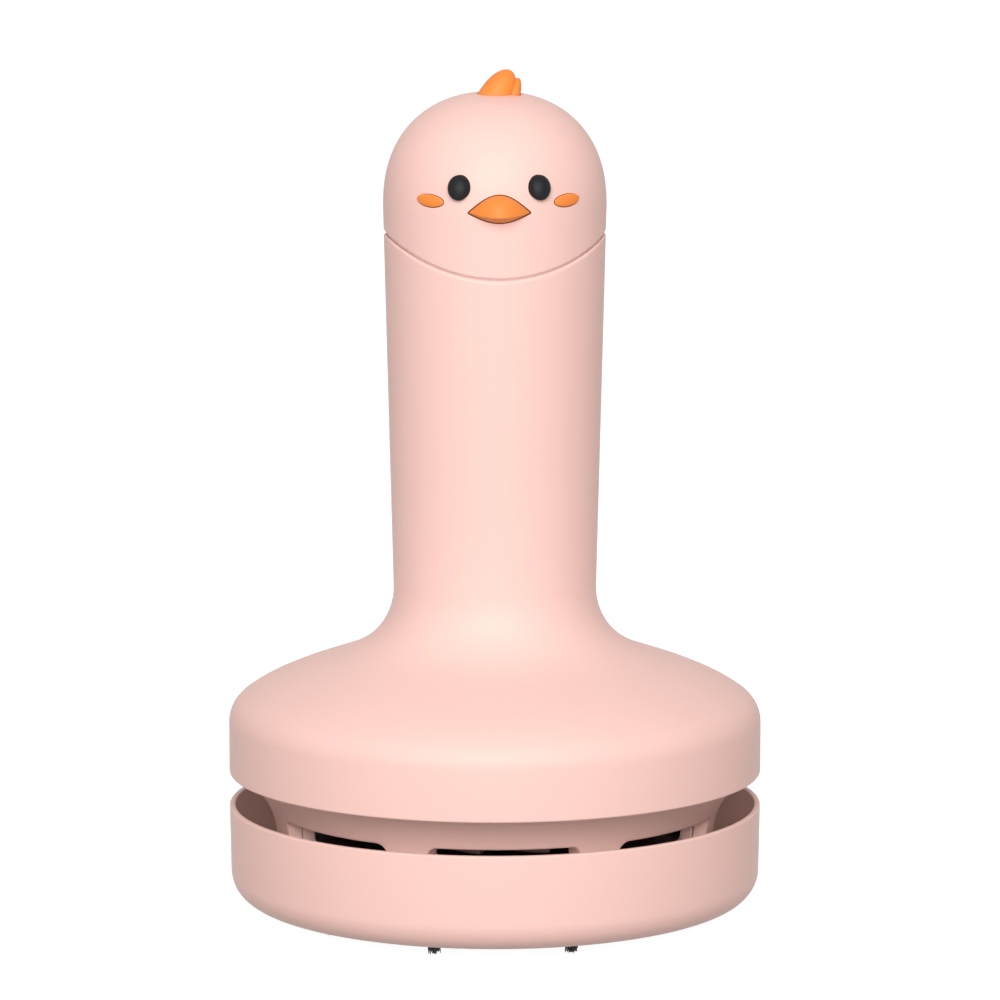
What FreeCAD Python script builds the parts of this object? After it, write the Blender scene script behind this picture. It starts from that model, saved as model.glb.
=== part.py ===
import FreeCAD, Part
import math
import os

Vector = FreeCAD.Vector
ORIGIN = Vector(0, 0, 0)
UP = Vector(0, 0, 1)
BACK = Vector(0, 1, 0)

# A desktop vacuum cleaner that stands on its brush. z = 0 is the table top, +Z runs up the neck,
# which is the handle, and the bird's face on the cap looks along -Y. Millimetres and degrees.

# --- Outer form, from the base up -----------------------------------------------------------------
base_radius = 45.0              # outside of the dust cup's rim and of the band above it
shell_wall = 1.8                # wall of the shell, the neck and the cap
band_foot = 24.6                # lower edge of the upper shell
band_height = 8.6               # straight band, up to the shoulder's edge
shoulder_edge_radius = 5.4
shoulder_edge_turn = 53.8
shoulder_roll_radius = 26.6
shoulder_roll_turn = 11.1
shoulder_crown_radius = 66.0
shoulder_crown_turn = 6.2
flare_toe_radius = 24.0
flare_toe_turn = 12.0
flare_radius = 10.9
neck_root_radius = 17.1
neck_draft = 1.42               # the neck widens upwards, so that it doesn't slip from the hand
cap_length = 29.6               # from the seam's lowest point to the top, without the crest
dome_rise = 18.9                # the dome's part of that length
dome_fullness = 2.26            # exponent of the dome's superellipse, 2 is a plain ellipse
edge_round = 0.5

# --- The curved seam between the neck and the cap -------------------------------------------------
seam_radius = 30.6              # a cylinder along Y cuts the seam, so it dips at the front and back
seam_gap = 0.25
neck_edge_round = 0.7
cap_edge_round = 0.35

# --- Dust cup and brush ---------------------------------------------------------------------------
tuft_length = 2.8               # bristle that shows below the cup
tuft_radius = 1.0
tuft_circle = 33.0
tuft_count = 9
tuft_sunk = 0.7                 # the sockets end below the groove of the ring
cup_rim = 19.15
cup_wall = 1.0
cup_floor = 1.5
cup_foot_radius = 44.7
cup_edge_radius = 5.0
rim_round = 0.3
mouth_radius = 13.0
collar_wall = 1.4
collar_height = 4.7             # keeps the dust in the cup when the cleaner is lifted
ring_wall = 1.6
seal_height = 2.0
seal_depth = 0.8
seal_below_ring_top = 1.2

# --- Fan housing ----------------------------------------------------------------------------------
fan_bore = 35.15
fan_wall = 1.9
flange_lap = 1.7                # how much of the shell's foot the flange leaves bare
spigot_height = 2.1
spigot_wall = 1.6
sweep_radius = 13.0             # concave sweep from the wall out to the shell's foot
roof_underside = 22.4
roof_thickness = 1.6
window_head = 18.7
window_width = 24.5             # along the outer surface; the jambs point at the axis
window_corner = 1.6
window_pitch = 50.0
diffuser_wall = 2.0

# --- Inlet plate, filter, impeller ----------------------------------------------------------------
plate_top = 14.8
plate_thickness = 1.4
plate_lip = 0.7
filter_height = 1.9
filter_rim = 2.0
filter_cloth = 0.5
filter_spokes = 6
impeller_radius = 29.4
impeller_height = 5.6
impeller_eye = 13.6
blade_count = 16
blade_thickness = 1.0
blade_sweep = 38.0
backplate = 1.0
hub_radius = 5.0

# --- Motor ----------------------------------------------------------------------------------------
shaft_radius = 1.0
motor_radius = 12.2
motor_length = 26.0
can_wall = 0.9
nose_radius = 3.1
nose_height = 1.2
magnet_thickness = 1.9
air_gap = 0.4
end_cap_thickness = 2.4
terminal_height = 4.0
motor_ring_wall = 1.5
motor_ring_height = 7.0

# --- Screws ---------------------------------------------------------------------------------------
screw_radius = 1.0
screw_head_radius = 2.0
screw_head_height = 1.3
post_radius = 3.0
post_circle = 30.0
post_count = 4
housing_screw_length = 9.6
inlet_screw_length = 5.4
small_screw_radius = 0.8
small_head_radius = 1.6
stud_radius = 2.1

# --- Batteries, two AA cells side by side ---------------------------------------------------------
cell_radius = 7.25
cell_length = 50.5
cell_button_radius = 2.7
cell_button_height = 1.0
cell_gap = 0.1
cell_proud = 2.9                # the cells stand this far out of the open neck, to be pulled out
contact_room = 1.9
cradle_floor = 3.0
cradle_height = 42.0
cradle_above_terminals = 1.0
contact_thickness = 0.4
contact_width = 4.0

# --- Cap's plug -----------------------------------------------------------------------------------
plug_reach = 5.4                # how far the skirt goes down into the neck below the seam
plug_floor = 1.6
plug_collar = 5.6

# --- Thumb switch on the back of the neck ---------------------------------------------------------
slider_width = 7.0
slider_length = 11.0
slider_proud = 0.9
slider_below_seam = 23.7
switch_travel = 4.0
pocket_floor = 1.4
pocket_depth = 1.3
pad_margin = 2.0                # thickened wall round the pocket, inside the neck
stem_width = 2.8
stem_length = 3.2
lever_width = 1.2
switch_width = 8.0
switch_depth = 4.4
switch_length = 13.0

# --- Face and crest -------------------------------------------------------------------------------
eye_angle = 20.8
eye_rise = 15.0                 # rises are counted from the seam's lowest point
eye_width = 3.9
eye_tall = 4.13
eye_proud = 0.9
eye_upturn = 8.0                # the eyes lie on the foot of the dome, which leans back
cheek_angle = 36.2
cheek_rise = 12.7
cheek_width = 5.5
cheek_tall = 2.25
cheek_tilt = 12.0
cheek_proud = 0.45
beak_half_width = 5.2
beak_rise = 10.9                # height of the beak's two corners
beak_crown = 2.95               # top of the beak above its corners
beak_drop = 1.6                 # underside below the corners
beak_lip_drop = 0.75
beak_proud = 3.0
trim_sunk = 0.4
lobe_foot = 1.0                 # the crest's lobes start this far below the top of the cap
lobe_forward = 2.2              # and this far in front of the middle
lobe_radius = 2.85
lobe_depth = 2.5
lobe_rise = 4.8
lobe_side = -0.1
lobe_lean = 0.41                # sideways shift for each millimetre up
small_lobe_radius = 1.15
small_lobe_depth = 1.6
small_lobe_rise = 3.4
small_lobe_side = 2.9
small_lobe_lean = 0.25

# --- Clearances -----------------------------------------------------------------------------------
glue_gap = 0.05                 # trim in its seat, pressed pieces
running_gap = 0.05              # seal in its bore, shaft in its bushes
moving_gap = 0.3                # between pieces that move past each other
loose_gap = 0.8                 # above and below the spinning impeller
past = 1.0                      # a cutter reaches this far past what it cuts

# --- Places that follow from the sizes above ------------------------------------------------------
cup_underside = tuft_length
floor_top = cup_underside + cup_floor
ring_seat = floor_top - cup_floor / 3
collar_top = floor_top + collar_height
plate_underside = plate_top - plate_thickness
ring_top = plate_underside - loose_gap
ring_outside = fan_bore - 2 * moving_gap
ring_inside = ring_outside - ring_wall
window_sill = plate_top + glue_gap
fan_outside = fan_bore + fan_wall
flange_radius = base_radius - flange_lap
roof_top = roof_underside + roof_thickness
sweep_centre = fan_outside + sweep_radius
sweep_foot = band_foot - math.sqrt(sweep_radius ** 2 - (sweep_centre - flange_radius) ** 2)
diffuser_outside = fan_bore - 5 * glue_gap
diffuser_inside = diffuser_outside - diffuser_wall
filter_radius = ring_inside - moving_gap
filter_underside = plate_underside - filter_height
impeller_top = roof_underside - loose_gap
impeller_foot = impeller_top - impeller_height
can_foot = roof_top
can_top = can_foot + motor_length
end_cap_top = can_top + end_cap_thickness
bush_radius = nose_radius - can_wall
magnet_outside = motor_radius - can_wall - glue_gap
armature_radius = magnet_outside - magnet_thickness - air_gap
pad_top = roof_top + roof_thickness
cradle_foot = end_cap_top + terminal_height + cradle_above_terminals
cell_foot = cradle_foot + cradle_floor + contact_room
cell_top = cell_foot + cell_length
cell_offset = cell_radius + cell_gap / 2
cradle_top = cell_foot + cradle_height - contact_room
seam_low = cell_top - cell_proud
seam_centre = seam_low + seam_radius
cap_height = seam_low + cap_length
dome_base = cap_height - dome_rise
eye_height = seam_low + eye_rise
cheek_height = seam_low + cheek_rise
beak_height = seam_low + beak_rise
slider_foot = seam_low - slider_below_seam
post_angles = [45 + index * 360 / post_count for index in range(post_count)]
window_angles = [side + turn for side in (0, 180) for turn in (-window_pitch, 0, window_pitch)]
stud_angles = [side + turn for side in (0, 180) for turn in (-window_pitch / 2, window_pitch / 2)]
stud_circle = diffuser_outside - stud_radius - glue_gap
slider_centre = slider_foot + slider_length / 2


# --- General shapes -------------------------------------------------------------------------------
def disc(radius, low, high, x=0, y=0):
    return Part.makeCylinder(radius, high - low, Vector(x, y, low))


def tube(outside, inside, low, high):
    return disc(outside, low, high).cut(disc(inside, low - past, high + past))


def block(width, depth, low, high, x=0, y=0):
    corner = Vector(x - width / 2, y - depth / 2, low)
    return Part.makeBox(width, depth, high - low, corner)


def polygon_edges(points):
    corners = [Vector(r, 0, z) for r, z in points]
    return [Part.LineSegment(a, b).toShape() for a, b in zip(corners, corners[1:])]


def revolved(edges):
    face = Part.Face(Part.Wire(Part.sortEdges(edges)[0]))
    return face.revolve(ORIGIN, UP, 360)


def revolved_polygon(points):
    return revolved(polygon_edges(points + points[:1]))


def united(shapes):
    first, others = shapes[0], shapes[1:]
    if not others:
        return first
    return first.multiFuse(others).removeSplitter()


def turned(shape, angle):
    return shape.rotated(ORIGIN, UP, angle)


def around(shape, angles):
    return [turned(shape, angle) for angle in angles]


def at_angle(radius, angle, z=0):
    # Angles are counted from the front, -Y, towards +X.
    turn = math.radians(angle)
    return Vector(radius * math.sin(turn), -radius * math.cos(turn), z)


def rounded(shape, radius, chosen):
    edges = [edge for edge in shape.Edges if chosen(edge)]
    return shape.makeFillet(radius, edges)


def circle_at(edge, radius, z, slack=0.02):
    curve = edge.Curve
    if not isinstance(curve, Part.Circle):
        return False
    return abs(curve.Radius - radius) < slack and abs(curve.Center.z - z) < slack


def pill(width, length, low, high):
    # A slot outline in the XZ plane, long in Z, extruded along Y from low to high.
    radius = width / 2
    reach = (length - width) / 2
    corners = [Vector(-radius, low, -reach), Vector(-radius, low, reach),
               Vector(radius, low, reach), Vector(radius, low, -reach)]
    ends = [Vector(0, low, reach + radius), Vector(0, low, -reach - radius)]
    edges = [Part.LineSegment(corners[0], corners[1]).toShape(),
             Part.Arc(corners[1], ends[0], corners[2]).toShape(),
             Part.LineSegment(corners[2], corners[3]).toShape(),
             Part.Arc(corners[3], ends[1], corners[0]).toShape()]
    return Part.Face(Part.Wire(edges)).extrude(Vector(0, high - low, 0))


# --- The outer form, one smooth line from the band to the top of the cap --------------------------
def walk(start, heading, steps):
    # Each step is (length, None) for a straight run or (radius, turn), with a left turn positive.
    edges = []
    point = Vector(start[0], 0, start[1])
    for size, turn in steps:
        way = Vector(math.cos(math.radians(heading)), 0, math.sin(math.radians(heading)))
        if turn is None:
            target = point + way * size
            edges.append(Part.LineSegment(point, target).toShape())
        else:
            side = 1 if turn > 0 else -1
            centre = point + Vector(-way.z, 0, way.x) * (size * side)
            middle = rotated_about(point, centre, turn / 2)
            target = rotated_about(point, centre, turn)
            edges.append(Part.Arc(point, middle, target).toShape())
            heading += turn
        point = target
    return edges, point


def rotated_about(point, centre, angle):
    turn = math.radians(angle)
    arm = point - centre
    x = arm.x * math.cos(turn) - arm.z * math.sin(turn)
    z = arm.x * math.sin(turn) + arm.z * math.cos(turn)
    return centre + Vector(x, 0, z)


def shoulder_steps(inset, slope_length):
    shoulder_turn = shoulder_edge_turn + shoulder_roll_turn + shoulder_crown_turn
    flare_turn = shoulder_turn - flare_toe_turn + neck_draft
    return [(band_height, None),
            (shoulder_edge_radius - inset, shoulder_edge_turn),
            (shoulder_roll_radius - inset, shoulder_roll_turn),
            (shoulder_crown_radius - inset, shoulder_crown_turn),
            (slope_length, None),
            (flare_toe_radius + inset, -flare_toe_turn),
            (flare_radius + inset, -flare_turn)]


def slope_length():
    # The straight slope is as long as it takes to reach the neck.
    shortest = walk((base_radius, band_foot), 90, shoulder_steps(0, 1.0))[1]
    slope = math.radians(shoulder_edge_turn + shoulder_roll_turn + shoulder_crown_turn)
    return 1.0 + (shortest.x - neck_root_radius) / math.sin(slope)


def dome_point(radius, rise, share):
    turn = math.radians(90 * share)
    return Vector(radius * math.cos(turn) ** (2 / dome_fullness), 0,
                  dome_base + rise * math.sin(turn) ** (2 / dome_fullness))


def outer_form(inset):
    # Solid inside the outer surface, with every wall moved in by inset.
    edges, root = walk((base_radius - inset, band_foot), 90, shoulder_steps(inset, slope_length()))
    dome_radius = root.x + (dome_base - root.z) * math.tan(math.radians(neck_draft))
    shoulder = Vector(dome_radius, 0, dome_base)
    shares = [0, 0.16, 0.32, 0.48, 0.64, 0.8, 0.92, 1]
    points = [dome_point(dome_radius, dome_rise - inset, share) for share in shares]
    points[-1] = Vector(0, 0, dome_base + dome_rise - inset)
    dome = Part.BSplineCurve()
    dome.interpolate(Points=points, InitialTangent=Vector(0, 0, 1), FinalTangent=Vector(-1, 0, 0))
    edges.append(Part.LineSegment(root, shoulder).toShape())
    edges.append(dome.toShape())
    edges.append(Part.LineSegment(points[-1], Vector(0, 0, band_foot)).toShape())
    edges.append(Part.LineSegment(Vector(0, 0, band_foot), edges[0].Vertexes[0].Point).toShape())
    return revolved(edges)


def neck_radius(z):
    root = walk((base_radius, band_foot), 90, shoulder_steps(0, slope_length()))[1]
    return root.x + (z - root.z) * math.tan(math.radians(neck_draft))


def seam_cylinder(radius):
    reach = 2 * base_radius
    return Part.makeCylinder(radius, 2 * reach, Vector(0, -reach, seam_centre), BACK)


OUTER = outer_form(0)
INNER = outer_form(shell_wall)
NECK_BORE = neck_radius(cradle_foot) - shell_wall


# --- Dust cup and brush ---------------------------------------------------------------------------
def cup_bowl():
    inside_foot = cup_foot_radius - cup_wall
    outline = [(0, cup_underside), (cup_foot_radius, cup_underside),
               (base_radius, cup_rim), (0, cup_rim)]
    hollow = [(0, floor_top), (inside_foot, floor_top),
              (base_radius - cup_wall, cup_rim + past), (0, cup_rim + past)]
    bowl = rounded(revolved_polygon(outline), cup_edge_radius,
                   lambda edge: circle_at(edge, cup_foot_radius, cup_underside))
    inside = rounded(revolved_polygon(hollow), cup_edge_radius - cup_floor,
                     lambda edge: circle_at(edge, inside_foot, floor_top))
    bowl = bowl.cut(inside)
    return rounded(bowl, rim_round, lambda edge: abs(edge.CenterOfMass.z - cup_rim) < 0.001
                   and isinstance(edge.Curve, Part.Circle))


def dust_cup():
    # The bowl, with a hole for the mouth's collar and a groove that the ring stands in.
    groove = tube(ring_outside + glue_gap, ring_inside - glue_gap, ring_seat, floor_top + past)
    hole = disc(mouth_radius + collar_wall + glue_gap, cup_underside - past, floor_top + past)
    sockets = [tuft(tuft_radius + glue_gap, cup_underside - past, cup_underside + tuft_sunk, angle)
               for angle in tuft_angles()]
    return cup_bowl().cut(Part.makeCompound([groove, hole] + sockets))


def cup_ring():
    # Stands up inside the fan housing's bore; the seal lies in its groove.
    ring = tube(ring_outside, ring_inside, ring_seat + glue_gap, ring_top)
    ring = rounded(ring, ring_wall / 4, lambda edge: circle_at(edge, ring_inside, ring_top)
                   or circle_at(edge, ring_outside, ring_top))
    groove_top = ring_top - seal_below_ring_top + glue_gap
    groove = tube(ring_outside + past, ring_outside - seal_depth, groove_top - seal_height - 2 * glue_gap,
                  groove_top)
    return ring.cut(groove)


def mouth_collar():
    collar = tube(mouth_radius + collar_wall, mouth_radius, cup_underside, collar_top)
    lip = collar_wall * 0.6
    collar = rounded(collar, lip, lambda edge: circle_at(edge, mouth_radius, cup_underside))
    return rounded(collar, collar_wall / 3, lambda edge: abs(edge.CenterOfMass.z - collar_top) < 0.001
                   and isinstance(edge.Curve, Part.Circle))


def cup_seal():
    top = ring_top - seal_below_ring_top
    lip = rounded(tube(fan_bore - running_gap, ring_outside - seal_depth, top - seal_height, top),
                  seal_height / 4, lambda edge: circle_at(edge, fan_bore - running_gap, top)
                  or circle_at(edge, fan_bore - running_gap, top - seal_height))
    return lip


def tuft_angles():
    return [(index + 0.5) * 360 / tuft_count for index in range(tuft_count)]


def tuft(radius, low, high, angle):
    place = at_angle(tuft_circle, angle)
    return disc(radius, low, high, place.x, place.y)


def brush_tufts():
    top = cup_underside + tuft_sunk - glue_gap
    return Part.makeCompound([tuft(tuft_radius, 0, top, angle) for angle in tuft_angles()])


# --- Fan housing and what sits in it --------------------------------------------------------------
def window_outline(distance):
    # The window's rounded outline in an upright plane, this far in front of the axis.
    half_turn = math.asin(window_width / 2 / fan_outside)
    x = distance * math.tan(half_turn) - window_corner
    low = window_sill + window_corner
    high = window_head - window_corner
    edges = []
    for centre_x, centre_z, start in ((x, high, 0), (-x, high, 90), (-x, low, 180), (x, low, 270)):
        points = []
        for angle in (start, start + 45, start + 90):
            turn = math.radians(angle)
            points.append(Vector(centre_x + window_corner * math.cos(turn), -distance,
                                 centre_z + window_corner * math.sin(turn)))
        if edges:
            edges.append(Part.LineSegment(edges[-1].Vertexes[-1].Point, points[0]).toShape())
        edges.append(Part.Arc(points[0], points[1], points[2]).toShape())
    edges.append(Part.LineSegment(edges[-1].Vertexes[-1].Point, edges[0].Vertexes[0].Point).toShape())
    return Part.Wire(edges)


def window_cutters():
    near = window_outline(diffuser_inside * 0.8)
    far = window_outline(flange_radius)
    return around(Part.makeLoft([near, far], True, True), window_angles)


def sweep_arc(inset, start, stop):
    # The concave sweep, moved into the material by inset, from one radius to another.
    points = []
    for radius in (start, (start + stop) / 2, stop):
        rise = math.sqrt(max((sweep_radius + inset) ** 2 - (sweep_centre - radius) ** 2, 0))
        points.append(Vector(radius, 0, sweep_foot + rise))
    return Part.Arc(points[0], points[1], points[2]).toShape()


def housing_section():
    # Wall, concave sweep, spigot inside the shell, groove behind the sweep, roof and motor's hole.
    wall_foot = floor_top + moving_gap
    spigot_outside = base_radius - shell_wall - glue_gap
    spigot_inside = spigot_outside - spigot_wall
    outside = sweep_arc(0, fan_outside, flange_radius)
    inside = sweep_arc(fan_wall, spigot_inside, fan_outside)
    spigot = [(flange_radius, band_foot), (spigot_outside, band_foot),
              (spigot_outside, band_foot + spigot_height), (spigot_inside, band_foot + spigot_height),
              (spigot_inside, inside.Vertexes[0].Point.z)]
    roof = [(fan_outside, inside.Vertexes[-1].Point.z), (fan_outside, roof_top),
            (nose_radius + glue_gap, roof_top), (nose_radius + glue_gap, roof_underside),
            (fan_bore, roof_underside), (fan_bore, wall_foot), (fan_outside, wall_foot),
            (fan_outside, sweep_foot)]
    return revolved([outside, inside] + polygon_edges(spigot) + polygon_edges(roof))


def fan_housing():
    inside = motor_radius + glue_gap
    motor_ring = tube(inside + motor_ring_wall, inside, roof_top, roof_top + motor_ring_height)
    rib = Part.makeBox(post_circle - inside - post_radius, motor_ring_wall, motor_ring_height / 2,
                       Vector(inside + motor_ring_wall / 2, -motor_ring_wall / 2, roof_top))
    ribs = around(rib, [index * 90 for index in range(4)])
    pads = [disc(post_radius + motor_ring_wall / 2, roof_top, pad_top, place.x, place.y)
            for place in post_places()]
    body = united([housing_section(), motor_ring] + ribs + pads)
    cutters = window_cutters()
    sink_top = roof_underside + screw_head_height + glue_gap * 2
    for place in post_places():
        x, y = place.x, place.y
        cutters.append(disc(screw_head_radius + glue_gap * 4, roof_underside - past, sink_top, x, y))
        cutters.append(disc(screw_radius + glue_gap * 2, roof_underside - past, pad_top + past, x, y))
    recess_top = roof_underside + roof_thickness / 2
    for place in motor_screw_places():
        x, y = place.x, place.y
        cutters.append(disc(small_screw_radius + glue_gap, roof_underside - past, roof_top + past, x, y))
        cutters.append(disc(small_head_radius + glue_gap, roof_underside - past, recess_top, x, y))
    return body.cut(Part.makeCompound(cutters))


def post_places():
    return [at_angle(post_circle, angle) for angle in post_angles]


def motor_screw_places():
    reach = (nose_radius + motor_radius) / 2
    return [Vector(side * reach, 0, 0) for side in (-1, 1)]


def diffuser_ring():
    ring = tube(diffuser_outside, diffuser_inside, plate_top, roof_underside)
    studs = [disc(stud_radius, plate_top, roof_underside, place.x, place.y) for place in stud_places()]
    ring = united([ring] + studs)
    cutters = window_cutters()
    hole_top = plate_underside + inlet_screw_length + past
    cutters += [disc(small_screw_radius, plate_top - past, hole_top, place.x, place.y)
                for place in stud_places()]
    return ring.cut(Part.makeCompound(cutters))


def stud_places():
    return [at_angle(stud_circle, angle) for angle in stud_angles]


def inlet_plate():
    outline = [(mouth_radius, plate_underside), (diffuser_outside, plate_underside),
               (diffuser_outside, plate_top), (mouth_radius + plate_thickness, plate_top),
               (mouth_radius + plate_thickness, plate_top + plate_lip),
               (mouth_radius, plate_top + plate_lip)]
    plate = revolved_polygon(outline)
    plate = rounded(plate, plate_thickness * 0.6,
                    lambda edge: circle_at(edge, mouth_radius, plate_underside))
    holes = [disc(small_screw_radius + glue_gap, plate_underside - past, plate_top + past,
                  place.x, place.y) for place in stud_places()]
    sinks = [disc(small_head_radius + glue_gap, plate_underside - past,
                  plate_underside + plate_thickness / 2, place.x, place.y) for place in stud_places()]
    return plate.cut(Part.makeCompound(holes + sinks))


def screw(place, head_low, head_high, tip, hole_radius, head_radius):
    head = disc(head_radius, head_low, head_high, place.x, place.y)
    shank = disc(hole_radius - glue_gap, head_high - glue_gap, tip, place.x, place.y)
    recess = (head_low + head_high) / 2
    arms = [(head_radius * 1.1, hole_radius * 0.4), (hole_radius * 0.4, head_radius * 1.1)]
    cross = [block(width, depth, head_low - past, recess, place.x, place.y)
             for width, depth in arms]
    return united([head, shank]).cut(Part.makeCompound(cross))


def inlet_screws():
    head_top = plate_underside + plate_thickness / 2
    return Part.makeCompound([screw(place, plate_underside + glue_gap, head_top,
                                    plate_underside + inlet_screw_length, small_screw_radius,
                                    small_head_radius)
                              for place in stud_places()])


def housing_screws():
    head_top = roof_underside + screw_head_height
    return Part.makeCompound([screw(place, roof_underside + glue_gap, head_top,
                                    roof_underside + housing_screw_length, screw_radius,
                                    screw_head_radius)
                              for place in post_places()])


def motor_screws():
    head_top = roof_underside + roof_thickness / 2
    return Part.makeCompound([screw(place, roof_underside + glue_gap, head_top,
                                    can_foot + can_wall + glue_gap, small_screw_radius,
                                    small_head_radius)
                              for place in motor_screw_places()])


def filter_frame():
    spoke_top = filter_underside + filter_height / 3
    rim = tube(filter_radius, filter_radius - filter_rim, filter_underside, plate_underside)
    hub = disc(hub_radius, filter_underside, spoke_top)
    spoke = Part.makeBox(filter_radius - filter_rim / 2, filter_rim * 0.6, spoke_top - filter_underside,
                         Vector(0, -filter_rim * 0.3, filter_underside))
    spokes = around(spoke, [index * 360 / filter_spokes for index in range(filter_spokes)])
    grip = block(filter_rim * 0.6, hub_radius * 1.6, filter_underside - loose_gap, filter_underside)
    return united([rim, hub, grip] + spokes)


def filter_mesh():
    # Concentric pleats between the spokes and the inlet plate.
    low = filter_underside + filter_height / 3 + glue_gap
    high = plate_underside - glue_gap
    outside = filter_radius - filter_rim - glue_gap
    folds = 8
    step = outside / folds
    lower = []
    upper = []
    for index in range(folds + 1):
        rise = (high - filter_cloth - low) if index % 2 else 0
        lower.append((index * step, low + rise))
        upper.append((index * step, low + rise + filter_cloth))
    return revolved_polygon(lower + upper[::-1])


# --- Impeller and its motor -----------------------------------------------------------------------
def blade():
    inner = at_angle(impeller_eye, 0)
    outer = at_angle(impeller_radius - glue_gap, blade_sweep)
    half_way = at_angle((impeller_eye + impeller_radius) / 2, blade_sweep * 0.36)
    arc = Part.Arc(inner, half_way, outer).toShape().Curve
    centre = arc.Center
    rims = []
    for shift in (-blade_thickness / 2, blade_thickness / 2):
        scale = (arc.Radius + shift) / arc.Radius
        rims.append([centre + (point - centre) * scale for point in (inner, half_way, outer)])
    near, far = rims
    edges = [Part.Arc(near[0], near[1], near[2]).toShape(), Part.LineSegment(near[2], far[2]).toShape(),
             Part.Arc(far[2], far[1], far[0]).toShape(), Part.LineSegment(far[0], near[0]).toShape()]
    face = Part.Face(Part.Wire(edges))
    face.translate(Vector(0, 0, impeller_foot))
    return face.extrude(Vector(0, 0, impeller_height - backplate / 2))


def impeller():
    plate = disc(impeller_radius, impeller_top - backplate, impeller_top)
    hub = Part.makeCone(hub_radius * 0.6, hub_radius, impeller_height, Vector(0, 0, impeller_foot))
    blades = around(blade(), [index * 360 / blade_count for index in range(blade_count)])
    wheel = united([plate, hub] + blades)
    trimmed = wheel.common(disc(impeller_radius, impeller_foot - past, impeller_top + past))
    return trimmed.cut(disc(shaft_radius, impeller_foot - past, impeller_top + past))


def motor_shaft():
    return disc(shaft_radius, impeller_foot + impeller_height / 4, end_cap_top - end_cap_thickness / 3)


def motor_can():
    body = disc(motor_radius, can_foot, can_top)
    body = rounded(body, can_wall, lambda edge: circle_at(edge, motor_radius, can_foot))
    nose = disc(nose_radius, can_foot - nose_height, can_foot + can_wall)
    hollow = disc(motor_radius - can_wall, can_foot + can_wall, can_top + past)
    body = united([body, nose]).cut(hollow)
    holes = [disc(small_screw_radius + glue_gap, can_foot - past, can_foot + can_wall + past,
                  place.x, place.y) for place in motor_screw_places()]
    vents = [block(can_wall * 4, can_wall * 4, can_top - motor_length / 3, can_top - motor_length / 5,
                   side * motor_radius) for side in (-1, 1)]
    bore = disc(bush_radius, can_foot - nose_height - past, can_foot + 2 * can_wall)
    return body.cut(Part.makeCompound(holes + vents + [bore]))


def motor_bushes():
    front = tube(bush_radius - glue_gap / 5, shaft_radius + running_gap, can_foot - nose_height,
                 can_foot + can_wall)
    rear = tube(bush_radius, shaft_radius + running_gap, can_top, end_cap_top - end_cap_thickness / 3)
    return Part.makeCompound([front, rear])


def motor_magnets():
    inside = magnet_outside - magnet_thickness
    ring = tube(magnet_outside, inside, magnet_foot(), magnet_top())
    gap = block(3 * magnet_outside, magnet_outside, magnet_foot() - past, magnet_top() + past)
    return Part.makeCompound(ring.cut(gap).Solids)


def magnet_foot():
    return can_foot + motor_length * 0.14


def magnet_top():
    return can_top - motor_length * 0.24


def motor_armature():
    low = magnet_foot() + air_gap
    high = magnet_top() - air_gap
    stack = disc(armature_radius, low, high)
    slot_width = armature_radius * 0.12
    slot = Part.makeBox(armature_radius, slot_width, high - low + 2 * past,
                        Vector(armature_radius * 0.45, -slot_width / 2, low - past))
    window = disc(armature_radius * 0.26, low - past, high + past, armature_radius * 0.6, 0)
    slots = around(slot.fuse(window), [60, 180, 300])
    stack = stack.cut(Part.makeCompound(slots))
    return stack.cut(disc(shaft_radius, low - past, high + past))


def motor_windings():
    low = magnet_foot() + air_gap
    high = magnet_top() - air_gap
    depth = (magnet_foot() - can_foot) * 0.5
    ends = [(low - depth, low), (high, high + depth)]
    rings = []
    for start, stop in ends:
        ring = tube(armature_radius * 0.85, armature_radius * 0.3, start, stop)
        rings.append(rounded(ring, depth / 3, lambda edge: isinstance(edge.Curve, Part.Circle)
                             and abs(edge.Curve.Radius - armature_radius * 0.85) < 0.01))
    return Part.makeCompound(rings)


def commutator():
    low = magnet_top() + (can_top - magnet_top()) * 0.4
    barrel = tube(armature_radius * 0.28, shaft_radius, low, can_top - glue_gap * 4)
    slit = block(armature_radius, armature_radius * 0.03, low - past, can_top + past,
                 armature_radius / 2 + shaft_radius * 1.4)
    return barrel.cut(Part.makeCompound(around(slit, [0, 120, 240])))


def motor_end_cap():
    rim_top = end_cap_top - end_cap_thickness / 2
    cap = united([disc(motor_radius - can_wall - glue_gap, can_top, rim_top),
                  disc(motor_radius - glue_gap, can_top + glue_gap, rim_top),
                  disc(bush_radius + can_wall, can_top, end_cap_top)])
    slots = [block(contact_thickness + 2 * glue_gap, contact_width * 0.7, can_top - past,
                   end_cap_top + past, x) for x in terminal_places()]
    bore = disc(bush_radius + glue_gap / 5, can_top - past, end_cap_top - end_cap_thickness / 3)
    tail = disc(shaft_radius + running_gap, can_top - past, end_cap_top - end_cap_thickness / 4)
    return cap.cut(Part.makeCompound(slots + [bore, tail]))


def terminal_places():
    return (-motor_radius * 0.66, motor_radius * 0.66)


def motor_terminals():
    return Part.makeCompound([block(contact_thickness, contact_width * 0.6, can_top - 1.5,
                                    end_cap_top + terminal_height, x) for x in terminal_places()])


# --- Upper shell with its neck --------------------------------------------------------------------
def pocket_face(z):
    return neck_radius(z) - pocket_depth


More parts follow.
